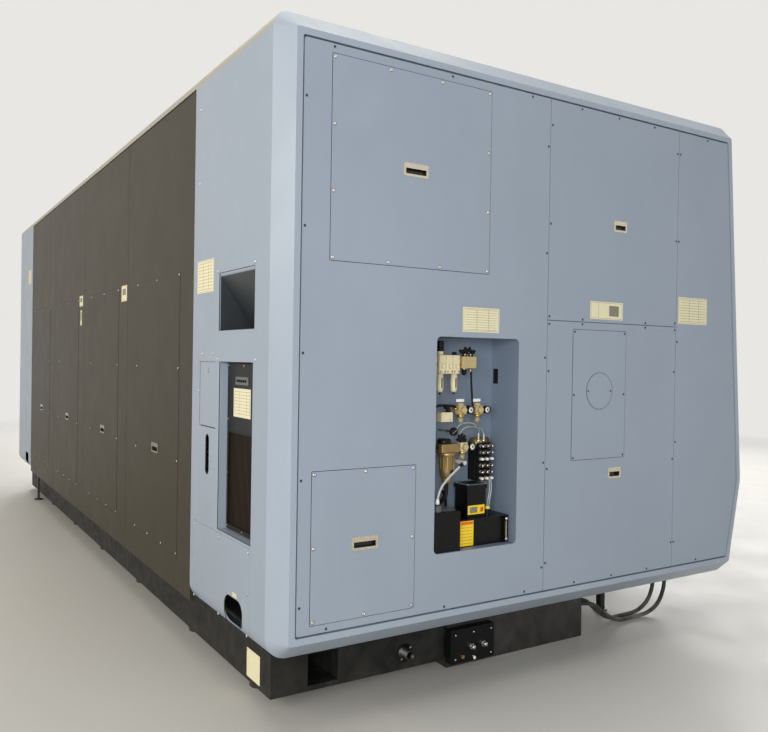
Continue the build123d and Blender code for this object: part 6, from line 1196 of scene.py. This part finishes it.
def base_fittings():
    """The drain box on the bed's end with its fittings, a drain pipe, and a bare plate on the bed's rear."""
    piece = Piece("base_fittings", "machine", "tank_black",
                  black_plastic, zinc, brass, white_plastic, paper, dark_zinc)
    box = leftward(BED_END_X, 397, 122.5)
    lid = (270, 157)
    piece.box(box, (298, 185, 56), 0, 4)
    piece.box(moved(box, 0, 0, 55.5), (*lid, 4), 0, 3)
    for u, v in border((0, 0), lid, 12, 3, 2):
        piece.screw(moved(box, u, v, 59.2), (5, 2.8), 1)
    for y, z in ((415, 115), (333, 117)):
        at = leftward(DRAIN_BOX_X, y, z)
        piece.nut(at, 17, 12, 1)
        piece.solid(at, ((12, 11), (12, 30), (9, 33)), 1, 20)
    piece.nut(leftward(DRAIN_BOX_X, 474, 67), 12, 10, 2)
    piece.rod(leftward(DRAIN_BOX_X, 389, 46), 9, 4, 3, 16)
    flange = leftward(BED_END_X + 1, 809, 131)
    ring = ((20, 0), (46, 0), (46, 9), (30, 11), (27, 55), (20, 55), (20, 0))
    piece.turned(flange, ring, 5, 28)
    for step in range(4):
        piece.nut(around(flange, 38, math.pi / 4 + math.pi / 2 * step, 9), 6, 5, 1)
    plate = rearward(-3391, BED_REAR_FACE, 137.5)
    sheet = (162, 143)
    piece.box(plate, (*sheet, 1.8), 4, 0.6)
    for u, v in border((0, 0), sheet, 10, 2, 2):
        piece.screw(moved(plate, u, v, 1.6), (4, 1.6), 1)
    return piece.done()


def foot_nuts():
    """Lock nuts and washers on the levelling feet."""
    piece = Piece("foot_nuts", "machine", "ground_steel", zinc)
    for x in (-3300, -2350, -1150, 0, 1150, 2350, 3300):
        for y in (-380, 1480):
            if y < 0 and x < BED_STEP_X:
                continue
            at = upward(x, y, 22.5)
            piece.washer(at, 17.5, 34, 0, 3, 0, 24)
            piece.nut(moved(at, 0, 0, 3), 30, 14, 0)
    return piece.done()


base_fittings()
foot_nuts()


# The mechanism

SPINDLE = (-620, 1250)
NOSE_X = -2060
CHUCK_FACE_X = -1829.7
SPINDLE_TAIL_X = -3280.3
SADDLE_RAILS = (1340, 300)
TAILSTOCK_RAILS = (-330, -910)
RAIL_END_X = 3300
MAGAZINE = (700, 2300)
MAGAZINE_HUB_X, MAGAZINE_MOUTH_X = -3212, -3162
HEAD_X, HEAD_Y = -300, -764.6
HEAD_COVER = ((HEAD_X, 2060), (200, 420))


def spindle_trim():
    """The chuck's cover ring, and screws between its jaws and on the spindle's tail."""
    piece = Piece("chuck_trim", "spindle", "chuck_steel", ground_steel, dark_zinc)
    at = rightward(CHUCK_FACE_X, *SPINDLE)
    piece.turned(at, ((53, 0), (70, 0), (70, 6), (64, 8), (53, 8)), 0, 48)
    for middle in (30, 150, 270):
        for lean in (-24, 24):
            angle = math.radians(middle + lean)
            place = moved(at, 150 * math.cos(angle), 150 * math.sin(angle), 0)
            piece.socket(place, (11, 8), 1)
    piece.sockets(leftward(SPINDLE_TAIL_X, *SPINDLE), 105, 12, (8, 8), 1)
    return piece.done()


def headstock_trim():
    """Eye bolts, and screws on the headstock's nose and feet."""
    piece = Piece("headstock_trim", "machine", "ground_steel", zinc, dark_zinc)
    for x in (-2980, -2180):
        for y in (-800, -440):
            top = upward(x, y, 1600)
            piece.solid(top, ((22, 0), (22, 6), (12, 10)), 1, 20)
            angles = between(0, 2 * math.pi, 19)
            eye = [top @ Vector((20 * math.cos(a), 0, 30 + 20 * math.sin(a))) for a in angles]
            piece.pipe(eye, 5.5, 1)
    piece.sockets(rightward(NOSE_X, *SPINDLE), 205, 12, (9, 9), 0)
    for side, y in (("front", -960), ("rear", -280)):
        for x in between(-3020, -2140, 8):
            piece.socket(facing(side, x, y, 862), (11, 10), 0)
    return piece.done()


def rail_bolts():
    """The counterbored bolts along the tops of the guide rails."""
    piece = Piece("rail_bolts", "machine", "ground_steel", dark_zinc)
    for rails, top, start, count in ((SADDLE_RAILS, 1044, -3280, 34), (TAILSTOCK_RAILS, 864, -1960, 27)):
        for at in [upward(x, y, top) for y in rails for x in between(start, RAIL_END_X, count)]:
            piece.washer(at, 10, 12.5, -1, 0.2, 0, 12)
            piece.solid(at, ((9.5, -1), (9.5, 0.15)), 0, 12)
    return piece.done()


def saddle_wipers():
    """Rubber wipers and screws on both ends of the column's saddle."""
    piece = Piece("saddle_wipers", "saddle", "cable_rubber", rubber, zinc)
    for side, x in (("left", -750), ("right", 150)):
        for y in SADDLE_RAILS:
            at = facing(side, x, y, 1028.5)
            for offset in (-38.5, 38.5):
                piece.box(moved(at, offset, 0, 0), (20, 32, 10), 0, 2)
            piece.socket(facing(side, x, y, 1110), (10, 10), 1)
    return piece.done()


def tailstock_trim():
    """The cover ring and screws round the tailstock's quill."""
    piece = Piece("tailstock_trim", "tailstock_body", "ground_steel", zinc)
    collar = leftward(1900, *SPINDLE)
    piece.turned(collar, ((81, 0), (125, 0), (125, 10), (110, 16), (81, 16)), 0, 48)
    piece.sockets(moved(collar, 0, 0, 12), 113, 8, (7, 7), 0)
    return piece.done()


def ram_trim():
    """Screws down both sides of the ram's front."""
    piece = Piece("ram_trim", "ram_body", "ground_steel", zinc)
    for z in between(1720, 2840, 8):
        for x in (-540, -60):
            piece.socket(frontward(x, -374.3, z), (9, 8), 0)
    return piece.done()


def head_trim():
    """Screws round the milling head's swivel, and a framed cover on its front."""
    piece = Piece("head_trim", "head", "ground_steel", zinc, black_plastic)
    piece.sockets(frontward(HEAD_X, -464.6, 2000), 172, 12, (8, 8), 0, math.pi / 12)
    (middle, height), size = HEAD_COVER
    piece.frame(frontward(middle, HEAD_Y, height), size, 30, 8, 3, 1)
    for x, z in border(*HEAD_COVER, 22, 2, 3):
        piece.socket(frontward(x, HEAD_Y, z), (6, 5), 0)
    return piece.done()


def magazine_trim():
    """Screws on the tool magazine's hub and a black ring round each pot's mouth."""
    piece = Piece("magazine_trim", "magazine", "ground_steel", dark_zinc, black_plastic)
    piece.sockets(rightward(MAGAZINE_HUB_X, *MAGAZINE), 80, 8, (9, 9), 0)
    mouth = ((24.5, 0), (32.5, 0), (32.5, 4), (29, 6), (24.5, 6))
    for step in range(20):
        at = around(rightward(MAGAZINE_MOUTH_X, *MAGAZINE), 345, 2 * math.pi * step / 20)
        piece.turned(at, mouth, 1, 24)
    return piece.done()


spindle_trim()
headstock_trim()
rail_bolts()
saddle_wipers()
tailstock_trim()
ram_trim()
head_trim()
magazine_trim()


# The roof and the operator panel

ROOF_LENGTH = 7600
ROOF_GAP = 3
ROOF_PITCH = (ROOF_LENGTH - 3 * ROOF_GAP) / 4 + ROOF_GAP
ROOF_TOP = 3207.2
PANEL_FACE_Y = -1600.5
SCREEN_X, SCREEN_Z = 2535, 1755
KEYS_Z = 1470
KEY_PITCH = (40, 36)
CONTROLS_X = 2835
KNOB_Z = 1390


def roof_trim():
    """Screws along both sides of the roof's three joints."""
    piece = Piece("roof_joint_strips", "machine", "roof_grey", zinc)
    for joint in range(1, 4):
        x = joint * ROOF_PITCH - (ROOF_LENGTH + ROOF_GAP) / 2
        for y in between(-1380, 1560, 10):
            for side in (-20, 20):
                piece.screw(upward(x + side, y, ROOF_TOP), (6, 2.4), 0)
    return piece.done()


def key_finish(row, column):
    """Which material a key cap has: one lime, one yellow, the rest white or grey."""
    if row == 0 and column in (0, 9):
        return 7 if column == 0 else 3
    return 1 if column < 7 else 2


def operator_face():
    """The operator panel's screen, key caps, rings and marks."""
    piece = Piece("operator_face", "pendant", "panel_grey",
                  screen, white_plastic, grey_plastic, yellow, orange, chrome, ink, lime)
    at = frontward(SCREEN_X, -1600.3, SCREEN_Z)
    piece.box(at, (416, 296, 2.2), 0, 2)
    for row in range(4):
        piece.box(moved(at, -120, 100 - row * 52, 1.8), (130, 34, 0.6), 2, 0.3)
    piece.box(moved(at, 85, 22, 1.8), (210, 190, 0.6), 6, 0.3)
    for row in range(5):
        for column in range(10):
            shift, rise = (column - 4.5) * KEY_PITCH[0], (row - 2) * KEY_PITCH[1]
            cap = frontward(SCREEN_X + shift, -1603, KEYS_Z + rise)
            piece.box(cap, (26.5, 26.5, 2.4), key_finish(row, column), 1.6)
    for z, radius, index in ((1640, 31, 3), (1510, 19, 5), (KNOB_Z, 27, 5)):
        inner = radius * 0.8
        ring = ((inner, 0), (radius, 0), (radius, 1.2), (radius * 0.84, 2), (inner, 2))
        piece.turned(frontward(CONTROLS_X, PANEL_FACE_Y, z), ring, index, 32)
    knob = frontward(CONTROLS_X, PANEL_FACE_Y, KNOB_Z)
    for mark in range(11):
        place = around(knob, 34, math.radians(225 - 27 * mark))
        piece.box(place, (6, 1.4, 0.5), 1, 0.1)
    for x in (2312, 2868):
        for z in (1142, 1918):
            piece.screw(frontward(x, PANEL_FACE_Y, z), (5, 2.2), 5)
    return piece.done()


roof_trim()
operator_face()


# The two power cables, in metres, whose points repeat part.py's

ROUTES = (
    (
        (-3.54, -1.33, 0.296), (-3.54, -1.33, 0.2), (-3.545, -1.3, 0.118), (-3.55, -1.238, 0.052),
        (-3.552, -1.13, 0.017), (-3.542, -1.0, 0.0135), (-3.55, -0.86, 0.014), (-3.544, -0.74, 0.08),
        (-3.54, -0.63, 0.172), (-3.54, -0.5, 0.172),
    ),
    (
        (-3.48, -1.29, 0.296), (-3.48, -1.29, 0.2), (-3.486, -1.26, 0.118), (-3.49, -1.2, 0.054),
        (-3.494, -1.094, 0.017), (-3.484, -0.97, 0.0135), (-3.492, -0.845, 0.014), (-3.486, -0.732, 0.084),
        (-3.48, -0.63, 0.18), (-3.48, -0.5, 0.18),
    ),
)
CABLE_LENGTHS = (1.056, 1.023)
CABLE_RADIUS = 0.013


def add_cable(number, route):
    """A floor cable as a smooth curve through its route, with its real thickness."""
    data = bpy.data.curves.new(f"supply_cable_{number}", "CURVE")
    data.dimensions = "3D"
    data.bevel_depth = CABLE_RADIUS
    data.bevel_resolution = 5
    data.resolution_u = 16
    data.use_fill_caps = True
    line = data.splines.new("NURBS")
    line.points.add(len(route) - 1)
    for point, place in zip(line.points, route):
        point.co = (*place, 1.0)
    line.order_u = 3
    line.use_endpoint_u = True
    data.materials.append(rubber.material)
    cable = bpy.data.objects.new(f"supply_cable_{number}", data)
    scene.collection.objects.link(cable)
    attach(cable, "machine")
    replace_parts(cable, f"power_cable_{number}")


for number, (route, length) in enumerate(zip(ROUTES, CABLE_LENGTHS), start=1):
    add_cable(number, route)

scene.view_settings.view_transform = "Standard"
